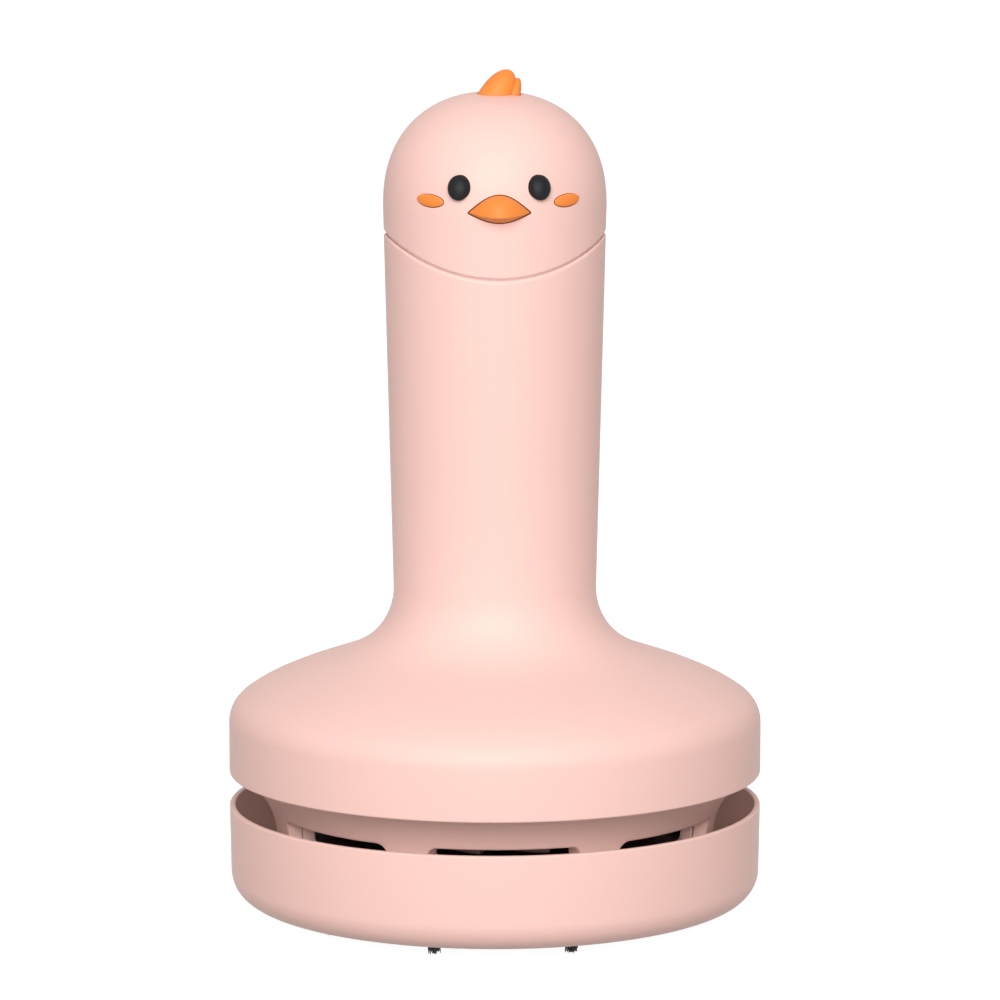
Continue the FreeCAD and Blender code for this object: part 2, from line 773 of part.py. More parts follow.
def main_shell():
    skin = OUTER.cut(INNER).cut(seam_cylinder(seam_radius))
    seam_height = seam_low - past
    skin = rounded(skin, neck_edge_round, lambda edge: edge.BoundBox.ZMin > seam_height
                   and edge.BoundBox.XMax > neck_radius(seam_low) - shell_wall / 2)
    skin = rounded(skin, edge_round, lambda edge: circle_at(edge, base_radius, band_foot))
    posts = [disc(post_radius, pad_top, dome_base, place.x, place.y) for place in post_places()]
    pad = block(slider_width * 1.7, shell_wall * 2, slider_foot - pad_margin,
                slider_foot + slider_length + switch_travel + pad_margin,
                0, pocket_face(slider_centre) - pocket_floor + shell_wall)
    inner_parts = [post.common(outer_form(shell_wall / 2)) for post in posts]
    inner_parts.append(pad.common(outer_form(shell_wall / 2)))
    shell = united([skin] + inner_parts)
    hole_top = roof_underside + housing_screw_length + 2 * past
    cutters = [disc(screw_radius, pad_top - past, hole_top, place.x, place.y)
               for place in post_places()]
    cutters += [slider_pocket(), stem_slot()]
    return shell.cut(Part.makeCompound(cutters))


def slider_pocket():
    width = slider_width + 2 * moving_gap
    length = slider_length + switch_travel + 2 * moving_gap
    cutter = pill(width, length, pocket_face(slider_centre), base_radius)
    cutter.translate(Vector(0, 0, slider_centre + switch_travel / 2))
    return cutter


def stem_slot():
    length = stem_length + switch_travel + 2 * moving_gap
    low = slider_centre - stem_length / 2 - moving_gap
    return block(stem_width + 2 * moving_gap, pocket_floor * 4, low, low + length,
                 0, pocket_face(slider_centre) - pocket_floor)


def slider_foot_face():
    return pocket_face(slider_centre) + moving_gap


def switch_slider():
    top = neck_radius(slider_centre) + slider_proud
    pad = pill(slider_width, slider_length, slider_foot_face(), top)
    pad = rounded(pad, slider_proud * 0.6, lambda edge: edge.BoundBox.YMin > top - 0.01)
    pad.translate(Vector(0, 0, slider_centre))
    ribs = [block(slider_width, slider_proud, z - 0.3, z + 0.3, 0, top)
            for z in [slider_centre + step * 1.6 for step in (-1.5, -0.5, 0.5, 1.5)]]
    stem_end = lever_top() - lever_width
    stem = block(stem_width, slider_foot_face() + 0.5 - stem_end, slider_centre - stem_length / 2,
                 slider_centre + stem_length / 2, 0, (slider_foot_face() + 0.5 + stem_end) / 2)
    hole = block(lever_width + 2 * glue_gap, 2 * (lever_width + glue_gap),
                 slider_centre - lever_width / 2 - glue_gap, slider_centre + lever_width / 2 + glue_gap,
                 0, stem_end)
    return united([pad, stem]).cut(Part.makeCompound(ribs + [hole]))


def switch_face():
    # The outer face of the switch's body, just inside the neck's pad.
    return pocket_face(slider_centre) - pocket_floor - 2 * moving_gap


def lever_top():
    return switch_face() + lever_width + 2 * moving_gap


def switch_lever():
    root = switch_face() - switch_depth * 0.25
    return block(lever_width, lever_top() - root, slider_centre - lever_width / 2,
                 slider_centre + lever_width / 2, 0, (lever_top() + root) / 2)


def switch_body():
    middle = slider_centre + switch_travel / 2
    case = block(switch_width, switch_depth, middle - switch_length / 2, middle + switch_length / 2,
                 0, switch_face() - switch_depth / 2)
    slot = block(lever_width + 2 * moving_gap, switch_depth, slider_centre - lever_width / 2 - moving_gap,
                 slider_centre + switch_travel + lever_width / 2 + moving_gap, 0,
                 switch_face() + switch_depth * (0.5 - 0.25) - moving_gap)
    return case.cut(slot)


# --- Batteries and what holds them ----------------------------------------------------------------
def cell(button_up):
    body = disc(cell_radius, 0, cell_length - cell_button_height)
    body = rounded(body, cell_button_height / 2, lambda edge: isinstance(edge.Curve, Part.Circle))
    button = disc(cell_button_radius, cell_length - cell_button_height * 1.5, cell_length)
    whole = united([body, button])
    if not button_up:
        whole = whole.rotated(Vector(0, 0, cell_length / 2), BACK, 180)
    return whole


def battery_left():
    return cell(True).translated(Vector(-cell_offset, 0, cell_foot))


def battery_right():
    return cell(False).translated(Vector(cell_offset, 0, cell_foot))


def battery_cradle():
    outside = NECK_BORE - 4 * glue_gap
    body = disc(outside, cradle_foot, cradle_top)
    bay = cell_radius + 3 * glue_gap
    floor = cradle_foot + cradle_floor
    bays = [disc(bay, floor, cradle_top + past, side * cell_offset) for side in (-1, 1)]
    open_sides = [block(outside, cell_radius * 1.5, floor, cradle_top + past, side * outside)
                  for side in (-1, 1)]
    middle = slider_centre + switch_travel / 2
    seat_low = middle - switch_length / 2 - 2 * glue_gap
    switch_seat = block(3 * outside, outside, seat_low, cradle_top + past,
                        0, switch_face() - switch_depth + outside / 2)
    slits = [block(contact_width + 4 * glue_gap, 2 * contact_thickness + 4 * glue_gap,
                   cradle_foot - past, floor + past, side * cell_offset, tab_place()) for side in (-1, 1)]
    return body.cut(Part.makeCompound(bays + open_sides + [switch_seat] + slits))


def tab_place():
    return cell_radius * 0.6


def contact_spring():
    # A bent leaf that pushes the left cell up, with its solder tab through the cradle's floor.
    floor = cradle_foot + cradle_floor
    reach = tab_place()
    top = cell_foot - contact_thickness
    path = [(reach, cradle_foot - loose_gap), (reach, floor), (-reach, floor), (0, top)]
    return bent_strip(path, contact_thickness, contact_width, -cell_offset)


def contact_plate():
    floor = cradle_foot + cradle_floor
    reach = tab_place()
    path = [(reach, cradle_foot - loose_gap), (reach, floor), (0, floor)]
    strip = bent_strip(path, contact_thickness, contact_width, cell_offset)
    stud = disc(contact_width * 0.4, floor, cell_foot, cell_offset, 0)
    return united([strip, stud])


def bent_strip(path, thickness, width, x):
    # A flat strip that follows a path in the YZ plane; each run is a thin plate above its line.
    plates = []
    for (y_a, z_a), (y_b, z_b) in zip(path, path[1:]):
        length = math.hypot(y_b - y_a, z_b - z_a)
        across = Vector(0, (z_a - z_b) / length, (y_b - y_a) / length) * thickness
        if across.z < -0.001:
            across = across * -1
        corners = [Vector(x - width / 2, y_a, z_a), Vector(x - width / 2, y_b, z_b)]
        corners += [corners[1] + across, corners[0] + across, corners[0]]
        plates.append(Part.Face(Part.makePolygon(corners)).extrude(Vector(width, 0, 0)))
    return united(plates)


# --- Cap with its plug ----------------------------------------------------------------------------
def cap_underside():
    return seam_centre - math.sqrt(seam_radius ** 2 - neck_radius(seam_low) ** 2)


def head_shell():
    skin = OUTER.cut(INNER).common(seam_cylinder(seam_radius - seam_gap))
    skin = rounded(skin, cap_edge_round, lambda edge: edge.BoundBox.ZMin < (seam_low + dome_base) / 2
                   and edge.BoundBox.XMax > neck_radius(seam_low) - shell_wall / 2)
    seats = [piece(glue_gap) for piece in (eye_blank_left, eye_blank_right, cheek_blank_left,
                                           cheek_blank_right, beak_blank, crest_blank)]
    seats = [seat.cut(outer_form(trim_sunk + glue_gap)) for seat in seats]
    return skin.cut(Part.makeCompound(seats))


def plug_radius():
    return neck_radius(plug_foot()) - shell_wall - 4 * glue_gap


def plug_foot():
    return seam_low - plug_reach


def plug_shoulder():
    return cap_underside() + 2 * moving_gap


def bridge_top():
    return cell_top + moving_gap + contact_thickness


def head_plug():
    inside = cell_offset + cell_radius + 1.5 * moving_gap
    skirt = disc(plug_radius(), plug_foot(), plug_shoulder() + past)
    collar_radius = neck_radius(plug_shoulder()) - shell_wall - glue_gap
    collar = disc(collar_radius, plug_shoulder(), plug_shoulder() + plug_collar)
    body = united([skirt, collar])
    body = rounded(body, plug_floor / 2, lambda edge: circle_at(edge, plug_radius(), plug_foot()))
    below = disc(inside, plug_foot() - past, bridge_top())
    above = disc(inside, bridge_top() + plug_floor, plug_shoulder() + plug_collar + past)
    return body.cut(Part.makeCompound([below, above]))


def bridge_contact():
    plate = pill(contact_width * 2, 2 * cell_offset + contact_width * 2, 0, contact_thickness)
    plate = plate.rotated(ORIGIN, Vector(1, 0, 0), 90).rotated(ORIGIN, UP, 90)
    return plate.translated(Vector(0, 0, bridge_top() - contact_thickness - plate.BoundBox.ZMin))


# --- Face and crest -------------------------------------------------------------------------------
def oval_blank(width, tall, proud, angle, height, tilt, grow):
    # An oval button whose rounded front follows the cap.
    reach = neck_radius(height) + proud
    start = reach - 2 * shell_wall
    ellipse = Part.Ellipse(ORIGIN, max(width, tall) / 2 + grow, min(width, tall) / 2 + grow)
    outline = Part.Face(Part.Wire(ellipse.toShape()))
    if tall > width:
        outline = outline.rotated(ORIGIN, UP, 90)
    button = outline.extrude(Vector(0, 0, 2 * shell_wall))
    if not grow:
        button = rounded(button, proud * 0.8, lambda edge: edge.BoundBox.ZMin > shell_wall)
    button = button.rotated(ORIGIN, UP, tilt)
    button = button.rotated(ORIGIN, Vector(1, 0, 0), 90)
    button.translate(Vector(0, -start, height))
    return turned(button, angle)


def eye_blank(side, grow):
    # A bead, half of it inside the cap's surface.
    matrix = FreeCAD.Matrix()
    matrix.A11 = eye_width / 2 + grow
    matrix.A22 = eye_proud + grow
    matrix.A33 = eye_tall / 2 + grow
    bead = Part.makeSphere(1).transformGeometry(matrix)
    bead = bead.rotated(ORIGIN, Vector(1, 0, 0), -eye_upturn)
    bead.translate(Vector(0, glue_gap - neck_radius(eye_height), eye_height))
    return turned(bead, side * eye_angle)


def eye_blank_left(grow=0):
    return eye_blank(-1, grow)


def eye_blank_right(grow=0):
    return eye_blank(1, grow)


def cheek_blank_left(grow=0):
    return oval_blank(cheek_width, cheek_tall, cheek_proud, -cheek_angle, cheek_height, -cheek_tilt, grow)


def cheek_blank_right(grow=0):
    return oval_blank(cheek_width, cheek_tall, cheek_proud, cheek_angle, cheek_height, cheek_tilt, grow)


def beak_section(share, grow):
    # One slice across the beak at a share of its half width: top edge, lip and bottom edge.
    arch = math.cos(math.radians(90 * share))
    x = share * (beak_half_width + grow)
    surface = math.sqrt(neck_radius(beak_height) ** 2 - x ** 2)
    root = surface - 2 * trim_sunk
    top = beak_height + beak_crown * arch + grow
    bottom = beak_height - beak_drop * arch - grow
    lip = beak_height - beak_lip_drop * arch
    nose = surface + (beak_proud + grow) * arch
    crown = Vector(x, -surface - 0.72 * (nose - surface), lip + 0.7 * (top - lip))
    chin = Vector(x, -surface - 0.7 * (nose - surface), lip - 0.6 * (lip - bottom))
    corners = [Vector(x, -root, top), Vector(x, -nose, lip), Vector(x, -root, bottom)]
    edges = [Part.Arc(corners[0], crown, corners[1]).toShape(),
             Part.Arc(corners[1], chin, corners[2]).toShape(),
             Part.LineSegment(corners[2], corners[0]).toShape()]
    return Part.Wire(edges)


def beak_blank(grow=0):
    shares = [-0.98, -0.88, -0.7, -0.45, -0.2, 0, 0.2, 0.45, 0.7, 0.88, 0.98]
    return Part.makeLoft([beak_section(share, grow) for share in shares], True, False)


def lobe(radius, depth, rise, side, lean, grow):
    # An ellipsoid that leans to the side, half of it inside the cap.
    matrix = FreeCAD.Matrix()
    matrix.A11 = radius + grow
    matrix.A22 = depth + grow
    matrix.A33 = rise + grow
    matrix.A13 = lean * (rise + grow)
    ball = Part.makeSphere(1).transformGeometry(matrix)
    return ball.translated(Vector(side, -lobe_forward, cap_height - lobe_foot))


def crest_blank(grow=0):
    big = lobe(lobe_radius, lobe_depth, lobe_rise, lobe_side, lobe_lean, grow)
    small = lobe(small_lobe_radius, small_lobe_depth, small_lobe_rise, small_lobe_side,
                 small_lobe_lean, grow)
    return big.fuse(small)


def seated(blank):
    return blank.cut(outer_form(trim_sunk))


# --- Every piece by its name ----------------------------------------------------------------------
PIECES = {
    "dust_cup": dust_cup,
    "cup_ring": cup_ring,
    "mouth_collar": mouth_collar,
    "cup_seal": cup_seal,
    "brush_tufts": brush_tufts,
    "main_shell": main_shell,
    "fan_housing": fan_housing,
    "diffuser_ring": diffuser_ring,
    "inlet_plate": inlet_plate,
    "inlet_screws": inlet_screws,
    "filter_frame": filter_frame,
    "filter_mesh": filter_mesh,
    "housing_screws": housing_screws,
    "impeller": impeller,
    "motor_shaft": motor_shaft,
    "motor_armature": motor_armature,
    "motor_windings": motor_windings,
    "commutator": commutator,
    "motor_can": motor_can,
    "motor_bushes": motor_bushes,
    "motor_magnets": motor_magnets,
    "motor_end_cap": motor_end_cap,
    "motor_terminals": motor_terminals,
    "motor_screws": motor_screws,
    "battery_cradle": battery_cradle,
    "battery_left": battery_left,
    "battery_right": battery_right,
    "contact_spring": contact_spring,
    "contact_plate": contact_plate,
    "switch_body": switch_body,
    "switch_lever": switch_lever,
    "switch_slider": switch_slider,
    "head_shell": head_shell,
    "head_plug": head_plug,
    "bridge_contact": bridge_contact,
    "beak": lambda: seated(beak_blank()),
    "eye_left": lambda: seated(eye_blank_left()),
    "eye_right": lambda: seated(eye_blank_right()),
    "cheek_left": lambda: seated(cheek_blank_left()),
    "cheek_right": lambda: seated(cheek_blank_right()),
    "crest": lambda: seated(crest_blank()),
}

os.makedirs("parts", exist_ok=True)
for name, build in PIECES.items():
    shape = build()
    print(name, "solids", len(shape.Solids), "valid", shape.isValid(), "volume", round(shape.Volume, 1))
    shape.exportStep("parts/" + name + ".step")
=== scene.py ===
import bpy
import bmesh
import math
import random
from mathutils import Matrix, Vector


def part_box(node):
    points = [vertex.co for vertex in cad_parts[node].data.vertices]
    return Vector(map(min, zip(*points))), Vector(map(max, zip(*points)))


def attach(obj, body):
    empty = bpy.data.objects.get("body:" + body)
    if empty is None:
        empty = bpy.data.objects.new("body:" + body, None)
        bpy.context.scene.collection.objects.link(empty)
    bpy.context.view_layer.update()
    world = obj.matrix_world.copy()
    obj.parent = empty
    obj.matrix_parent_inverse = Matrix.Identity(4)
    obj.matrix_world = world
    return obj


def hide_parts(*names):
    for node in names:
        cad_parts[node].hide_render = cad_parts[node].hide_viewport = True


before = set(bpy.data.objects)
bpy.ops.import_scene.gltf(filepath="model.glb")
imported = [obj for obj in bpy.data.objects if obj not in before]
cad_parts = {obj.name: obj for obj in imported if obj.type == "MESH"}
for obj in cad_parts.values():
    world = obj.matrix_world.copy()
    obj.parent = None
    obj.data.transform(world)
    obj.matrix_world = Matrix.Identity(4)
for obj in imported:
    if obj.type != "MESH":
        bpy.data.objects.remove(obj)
for name in ("Cube", "Light", "Camera"):
    if name in bpy.data.objects:
        bpy.data.objects.remove(bpy.data.objects[name])
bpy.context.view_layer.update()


# --- Table, light and camera ---
# The cleaner stands on a white table. One soft lamp, high in front and a little to the left, lights
# its face, and the room's even light fills the rest.
camera_turn = math.radians(-2.45)
camera_place = Vector((0.000866, -0.850, 0.1954))
camera_pitch = math.radians(81.654)
camera_lens = 183.56
lamp_width = 0.96
lamp_height = 0.76
lamp_watts = 11.4
lamp_distance = 1.1
lamp_turn = math.radians(-4.3)
lamp_rise = math.radians(25.5)
lamp_target = Vector((0.0, 0.0, 0.07))
room_light = 0.43
table_size = 12.0
table_pale = (0.36, 0.36, 0.36, 1)
table_glow = 0.94


def put(tree, kind, settings=None, **inputs):
    # Adds a node; each further argument is a value or a link for the socket of that name.
    node = tree.nodes.new("ShaderNode" + kind)
    for name, value in (settings or {}).items():
        setattr(node, name, value)
    for name, value in inputs.items():
        socket = node.inputs[name.replace("_", " ")]
        if isinstance(value, bpy.types.NodeSocket):
            tree.links.new(value, socket)
        else:
            socket.default_value = value
    return node


def added(name, data):
    thing = bpy.data.objects.new(name, data)
    bpy.context.scene.collection.objects.link(thing)
    return thing


def seen_directly(tree):
    # 1 for what the camera sees, itself or in a gloss, and 0 for the light that falls on the cleaner.
    path = put(tree, "LightPath")
    seen = path.outputs["Is Camera Ray"]
    for way in ("Is Glossy Ray", "Is Transmission Ray"):
        both = put(tree, "Math", {"operation": "MAXIMUM"})
        tree.links.new(seen, both.inputs[0])
        tree.links.new(path.outputs[way], both.inputs[1])
        seen = both.outputs[0]
    return seen


def table_finish():
    finish = bpy.data.materials.new("table_white")
    finish.use_nodes = True
    tree = finish.node_tree
    tree.nodes.clear()
    body = put(tree, "BsdfDiffuse", Color=table_pale)
    glow = put(tree, "Emission", Color=(1, 1, 1, 1), Strength=table_glow)
    both = put(tree, "AddShader")
    tree.links.new(body.outputs[0], both.inputs[0])
    tree.links.new(glow.outputs[0], both.inputs[1])
    either = put(tree, "MixShader", Fac=seen_directly(tree))
    tree.links.new(body.outputs[0], either.inputs[1])
    tree.links.new(both.outputs[0], either.inputs[2])
    put(tree, "OutputMaterial", Surface=either.outputs[0])
    return finish


sheet_mesh = bmesh.new()
bmesh.ops.create_grid(sheet_mesh, x_segments=4, y_segments=4, size=table_size / 2)
table_mesh = bpy.data.meshes.new("table")
sheet_mesh.to_mesh(table_mesh)
sheet_mesh.free()
table_mesh.materials.append(table_finish())
table = added("table", table_mesh)

world = bpy.data.worlds.new("room")
world.use_nodes = True
room_tree = world.node_tree
room_tree.nodes.clear()
shares = put(room_tree, "MapRange", Value=seen_directly(room_tree), To_Min=room_light, To_Max=1.0)
room = put(room_tree, "Background", Color=(1, 1, 1, 1), Strength=shares.outputs["Result"])
put(room_tree, "OutputWorld", Surface=room.outputs[0])
bpy.context.scene.world = world

lamp_data = bpy.data.lights.new("soft_box", "AREA")
lamp_data.shape = "ELLIPSE"
lamp_data.size = lamp_width
lamp_data.size_y = lamp_height
lamp_data.energy = lamp_watts
lamp = added("soft_box", lamp_data)
lamp_way = Vector((math.cos(lamp_rise) * math.sin(lamp_turn),
                   -math.cos(lamp_rise) * math.cos(lamp_turn), math.sin(lamp_rise)))
lamp.location = lamp_target + lamp_way * lamp_distance
lamp.rotation_euler = (-lamp_way).to_track_quat("-Z", "Y").to_euler()

camera_data = bpy.data.cameras.new("camera")
camera_data.lens = camera_lens
camera = added("camera", camera_data)
camera.location = Matrix.Rotation(camera_turn, 3, "Z") @ camera_place
camera.rotation_euler = (camera_pitch, 0, camera_turn)
bpy.context.scene.camera = camera
bpy.context.scene.view_settings.view_transform = "Standard"


# --- Dust cup ---
# The bowl that takes the dust: pink ABS, injection moulded with a fine spark texture. Its wall thins
# to a rounded rim, its floor has the mouth's hole, a groove for the inner ring and sockets for tufts.
MM = 0.001
round_steps = 192
small_round_steps = 96
bend_facet = 6.0
turned_weld = 0.0005
carved_weld = 1e-6
cup_wall = 1.0
cup_floor = 1.5
cup_draft = 1.05
cup_edge_radius = 5.0
cup_rim_round = 0.3
fit_gap = 0.05
cutter_past = 1.0
cutter_reach = 3.0
cutter_segments = 24
hair = 0.01
pink = (0.915, 0.585, 0.52, 1)
pink_bounce = (0.90, 0.80, 0.765, 1)
pink_roughness = 0.50
spark_grain = 2600.0


def mm_box(node):
    low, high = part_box(node)
    return low / MM, high / MM


def verts_in(geom):
    return [part for part in geom if isinstance(part, bmesh.types.BMVert)]


def extended(bm, vert, place):
    # Goes on from the last vertex of an outline to the next.
    new = bmesh.ops.extrude_vert_indiv(bm, verts=[vert])["verts"][0]
    new.co = place
    return new


def trace(bm, start, heading, steps):
    # Draws a piece's outline in the plane y = 0: ("run", length), ("reach", radius), ("rise", height),
    # ("bend", radius, turn) with a left turn positive, and ("turn", angle) for a sharp corner. It
    # starts at a vertex or at a radius and a height, and gives back the last vertex.
    vert = start if isinstance(start, bmesh.types.BMVert) else bm.verts.new((start[0], 0, start[1]))
    heading = math.radians(heading)
    for step in steps:
        kind, size = step[0], step[1]
        way = Vector((math.cos(heading), 0, math.sin(heading)))
        if kind == "turn":
            heading += math.radians(size)
        elif kind == "bend":
            turn = math.radians(step[2])
            side = math.copysign(size, turn)
            centre = vert.co + Vector((-way.z, 0, way.x)) * side
            cuts = max(3, round(abs(step[2]) / bend_facet))
            spun = bmesh.ops.spin(bm, geom=[vert], cent=centre, axis=(0, -1, 0), angle=turn, steps=cuts)
            vert = verts_in(spun["geom_last"])[0]
            heading += turn
        else:
            length = size
            if kind == "reach":
                length = (size - vert.co.x) / way.x
            if kind == "rise":
                length = (size - vert.co.z) / way.z
            vert = extended(bm, vert, vert.co + way * length)
    return vert


def turn_on_axis(bm, x=0, y=0, steps=round_steps):
    # Spins the whole outline about the upright axis, as if turned on a lathe.
    bmesh.ops.spin(bm, geom=bm.verts[:] + bm.edges[:], cent=(x, y, 0), axis=(0, 0, 1),
                   angle=2 * math.pi, steps=steps, use_merge=True)
    bmesh.ops.remove_doubles(bm, verts=bm.verts[:], dist=turned_weld)
    bmesh.ops.recalc_face_normals(bm, faces=bm.faces[:])


def sharpen(mesh, angle=32):
    # Smooth shading, with a sharp edge where two faces meet at more than the angle.
    bm = bmesh.new()
    bm.from_mesh(mesh)
    for face in bm.faces:
        face.smooth = True
    for edge in bm.edges:
        edge.smooth = len(edge.link_faces) != 2 or edge.calc_face_angle(0) < math.radians(angle)
    bm.to_mesh(mesh)
    bm.free()


def made(bm, name, finish):
    # Turns the millimetres of the outline into metres and gives the piece its finish.
    bmesh.ops.recalc_face_normals(bm, faces=bm.faces[:])
    bmesh.ops.scale(bm, vec=(MM, MM, MM), verts=bm.verts[:])
    mesh = bpy.data.meshes.new(name)
    bm.to_mesh(mesh)
    bm.free()
    sharpen(mesh)
    mesh.materials.append(finish)
    return added(name, mesh)


def turned(name, finish, start, heading, steps, around=round_steps):
    # A piece made on the lathe from its closed outline.
    bm = bmesh.new()
    first = bm.verts.new((start[0], 0, start[1]))
    last = trace(bm, first, heading, steps)
    bmesh.ops.contextual_create(bm, geom=[last, first])
    turn_on_axis(bm, steps=around)
    return made(bm, name, finish)


def carve(piece, cutter, operation="DIFFERENCE", finish=None):
    # Cuts one shape out of a piece, or joins it on; a bmesh in millimetres becomes a piece first. The
    # new faces may get a finish of their own.
    if isinstance(cutter, bmesh.types.BMesh):
        cutter = made(cutter, "cutter", finish or piece.data.materials[0])
    carving = piece.modifiers.new("carve", "BOOLEAN")
    carving.operation = operation
    carving.solver = "EXACT"
    carving.material_mode = "TRANSFER"
    carving.object = cutter
    depsgraph = bpy.context.evaluated_depsgraph_get()
    cut = bpy.data.meshes.new_from_object(piece.evaluated_get(depsgraph))
    piece.modifiers.clear()
    old = piece.data
    piece.data = cut
    cut.name = piece.name
    bpy.data.meshes.remove(old)
    bpy.data.objects.remove(cutter)
    bm = bmesh.new()
    bm.from_mesh(cut)
    bmesh.ops.remove_doubles(bm, verts=bm.verts[:], dist=carved_weld)
    bmesh.ops.dissolve_degenerate(bm, edges=bm.edges[:], dist=carved_weld)
    bm.to_mesh(cut)
    bm.free()
    sharpen(cut)


def at_angle(radius, angle, z=0):
    # Angles are counted from the front, and grow towards +X.
    turn = math.radians(angle)
    return Vector((radius * math.sin(turn), -radius * math.cos(turn), z))


def pegs(places, radius, low, high):
    # Round pegs at several places, as one bmesh.
    bm = bmesh.new()
    for place in places:
        spot = Matrix.Translation((place.x, place.y, (low + high) / 2))
        bmesh.ops.create_cone(bm, cap_ends=True, segments=cutter_segments, radius1=radius,
                              radius2=radius, depth=high - low, matrix=spot)
    return bm


def surface_texture(name, detail, roughness, clouds, cloud_detail, shade, dulling):
    # A fine grain, drawn out by its stretch, with soft clouds in the colour and an uneven shine.
    group = bpy.data.node_groups.new(name, "ShaderNodeTree")
    for socket, kind in (("Colour", "Color"), ("Stretch", "Vector"), ("Roughness", "Float")):
        group.interface.new_socket(socket, in_out="INPUT", socket_type="NodeSocket" + kind)
    for socket, kind in (("Colour", "Color"), ("Roughness", "Float"), ("Height", "Float")):
        group.interface.new_socket(socket, in_out="OUTPUT", socket_type="NodeSocket" + kind)
    given = group.nodes.new("NodeGroupInput")
    place = put(group, "TexCoord").outputs["Object"]
    stretched = put(group, "Mapping", Vector=place, Scale=given.outputs["Stretch"])
    grain = put(group, "TexNoise", Vector=stretched.outputs[0], Scale=1.0, Detail=detail,
                Roughness=roughness)
    cloud = put(group, "TexNoise", Vector=place, Scale=clouds, Detail=cloud_detail, Roughness=0.5)
    value = put(group, "MapRange", Value=cloud.outputs[0], To_Min=shade[0], To_Max=shade[1])
    tint = put(group, "HueSaturation", Value=value.outputs[0], Color=given.outputs["Colour"])
    dull = put(group, "MapRange", Value=grain.outputs[0], To_Min=dulling[0], To_Max=dulling[1])
    rough = put(group, "Math", {"operation": "ADD"})
    group.links.new(given.outputs["Roughness"], rough.inputs[0])
    group.links.new(dull.outputs[0], rough.inputs[1])
    result = group.nodes.new("NodeGroupOutput")
    for socket, source in (("Colour", tint), ("Roughness", rough), ("Height", grain)):
        group.links.new(source.outputs[0], result.inputs[socket])
    return group


def textured(name, texture, colour, roughness, stretch, strength, depth, **surface):
    # A finish whose colour, shine and relief come from a texture; the rest is the surface's own.
    finish = bpy.data.materials.new(name)
    finish.use_nodes = True
    tree = finish.node_tree
    tree.nodes.clear()
    grain = tree.nodes.new("ShaderNodeGroup")
    grain.node_tree = texture
    grain.inputs["Colour"].default_value = colour
    grain.inputs["Stretch"].default_value = stretch
    grain.inputs["Roughness"].default_value = roughness
    bump = put(tree, "Bump", Strength=strength, Distance=depth, Height=grain.outputs["Height"])
    body = put(tree, "BsdfPrincipled", Base_Color=grain.outputs["Colour"],
               Roughness=grain.outputs["Roughness"], Normal=bump.outputs[0], **surface)
    put(tree, "OutputMaterial", Surface=body.outputs[0])
    return finish


# The colour sockets of the Mix node, which has others for plain numbers and vectors.
first_colour, second_colour, mixed_colour = 6, 7, 2


def recolour(finish, share, other, *sockets):
    # Turns the colour of a finish into another where share is 1, and feeds share to more sockets.
    tree = finish.node_tree
    body = [node for node in tree.nodes if node.type == "BSDF_PRINCIPLED"][0]
    blend = put(tree, "Mix", {"data_type": "RGBA"})
    tree.links.new(share, blend.inputs[0])
    tree.links.new(body.inputs["Base Color"].links[0].from_socket, blend.inputs[first_colour])
    blend.inputs[second_colour].default_value = other
    tree.links.new(blend.outputs[mixed_colour], body.inputs["Base Color"])
    for socket in sockets:
        tree.links.new(share, body.inputs[socket])
    return finish


# The fine dull grain of a spark-eroded mould, with faint flow marks in the colour.
spark = surface_texture("spark_texture", detail=5.0, roughness=0.6, clouds=38.0, cloud_detail=2.0,
                        shade=(0.985, 1.015), dulling=(-0.06, 0.06))


def moulded(name, colour, roughness, grain=spark_grain, depth=0.000012, specular=0.5, coat=0.0):
    return textured(name, spark, colour, roughness, (grain,) * 3, 0.6, depth,
                    Specular_IOR_Level=specular, Coat_Weight=coat, Coat_Roughness=0.12)


pink_plastic = moulded("pink_abs", pink, pink_roughness, specular=0.35)
# The light that the plastic throws on itself is paler than the plastic.
recolour(pink_plastic, put(pink_plastic.node_tree, "LightPath").outputs["Is Diffuse Ray"], pink_bounce)

cup_low, cup_high = mm_box("dust_cup")
ring_low, ring_high = mm_box("cup_ring")
collar_low, collar_high = mm_box("mouth_collar")
tuft_low, tuft_high = mm_box("brush_tufts")
ring_wall = 1.6
mouth_hole = collar_high.x + fit_gap
cup_floor_top = cup_low.z + cup_floor
cup_lean = math.tan(math.radians(cup_draft))
cup_edge_inside = cup_edge_radius - cup_floor
cup_bend = 1 - math.sin(math.radians(cup_draft))
cup_flat = cup_high.x - (cup_high.z - cup_low.z - cup_edge_radius * cup_bend) * cup_lean
cup_flat -= cup_edge_radius * math.cos(math.radians(cup_draft))

cup = turned("dust_cup_bowl", pink_plastic, (mouth_hole, cup_low.z), 0, [
    ("reach", cup_flat),
    ("bend", cup_edge_radius, 90 - cup_draft),
    ("rise", cup_high.z - cup_rim_round),
    ("bend", cup_rim_round, 90 + cup_draft),
    ("run", cup_wall - 2 * cup_rim_round),
    ("bend", cup_rim_round, 90 - cup_draft),
    ("rise", cup_floor_top + cup_edge_inside * cup_bend),
    ("bend", cup_edge_inside, cup_draft - 90),
    ("reach", ring_high.x + fit_gap),
    ("turn", 90),
    ("rise", ring_low.z - fit_gap),
    ("turn", -90),
    ("reach", ring_high.x - ring_wall - fit_gap),
    ("turn", -90),
    ("rise", cup_floor_top),
    ("turn", 90),
    ("reach", mouth_hole)])
tuft_count = 9
tuft_circle = 33.0
tuft_radius = 1.0
tuft_places = [at_angle(tuft_circle, (index + 0.5) * 360 / tuft_count) for index in range(tuft_count)]
carve(cup, pegs(tuft_places, tuft_radius + fit_gap, cup_low.z - cutter_past, tuft_high.z + fit_gap))
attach(cup, "dust_cup")
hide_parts("dust_cup")


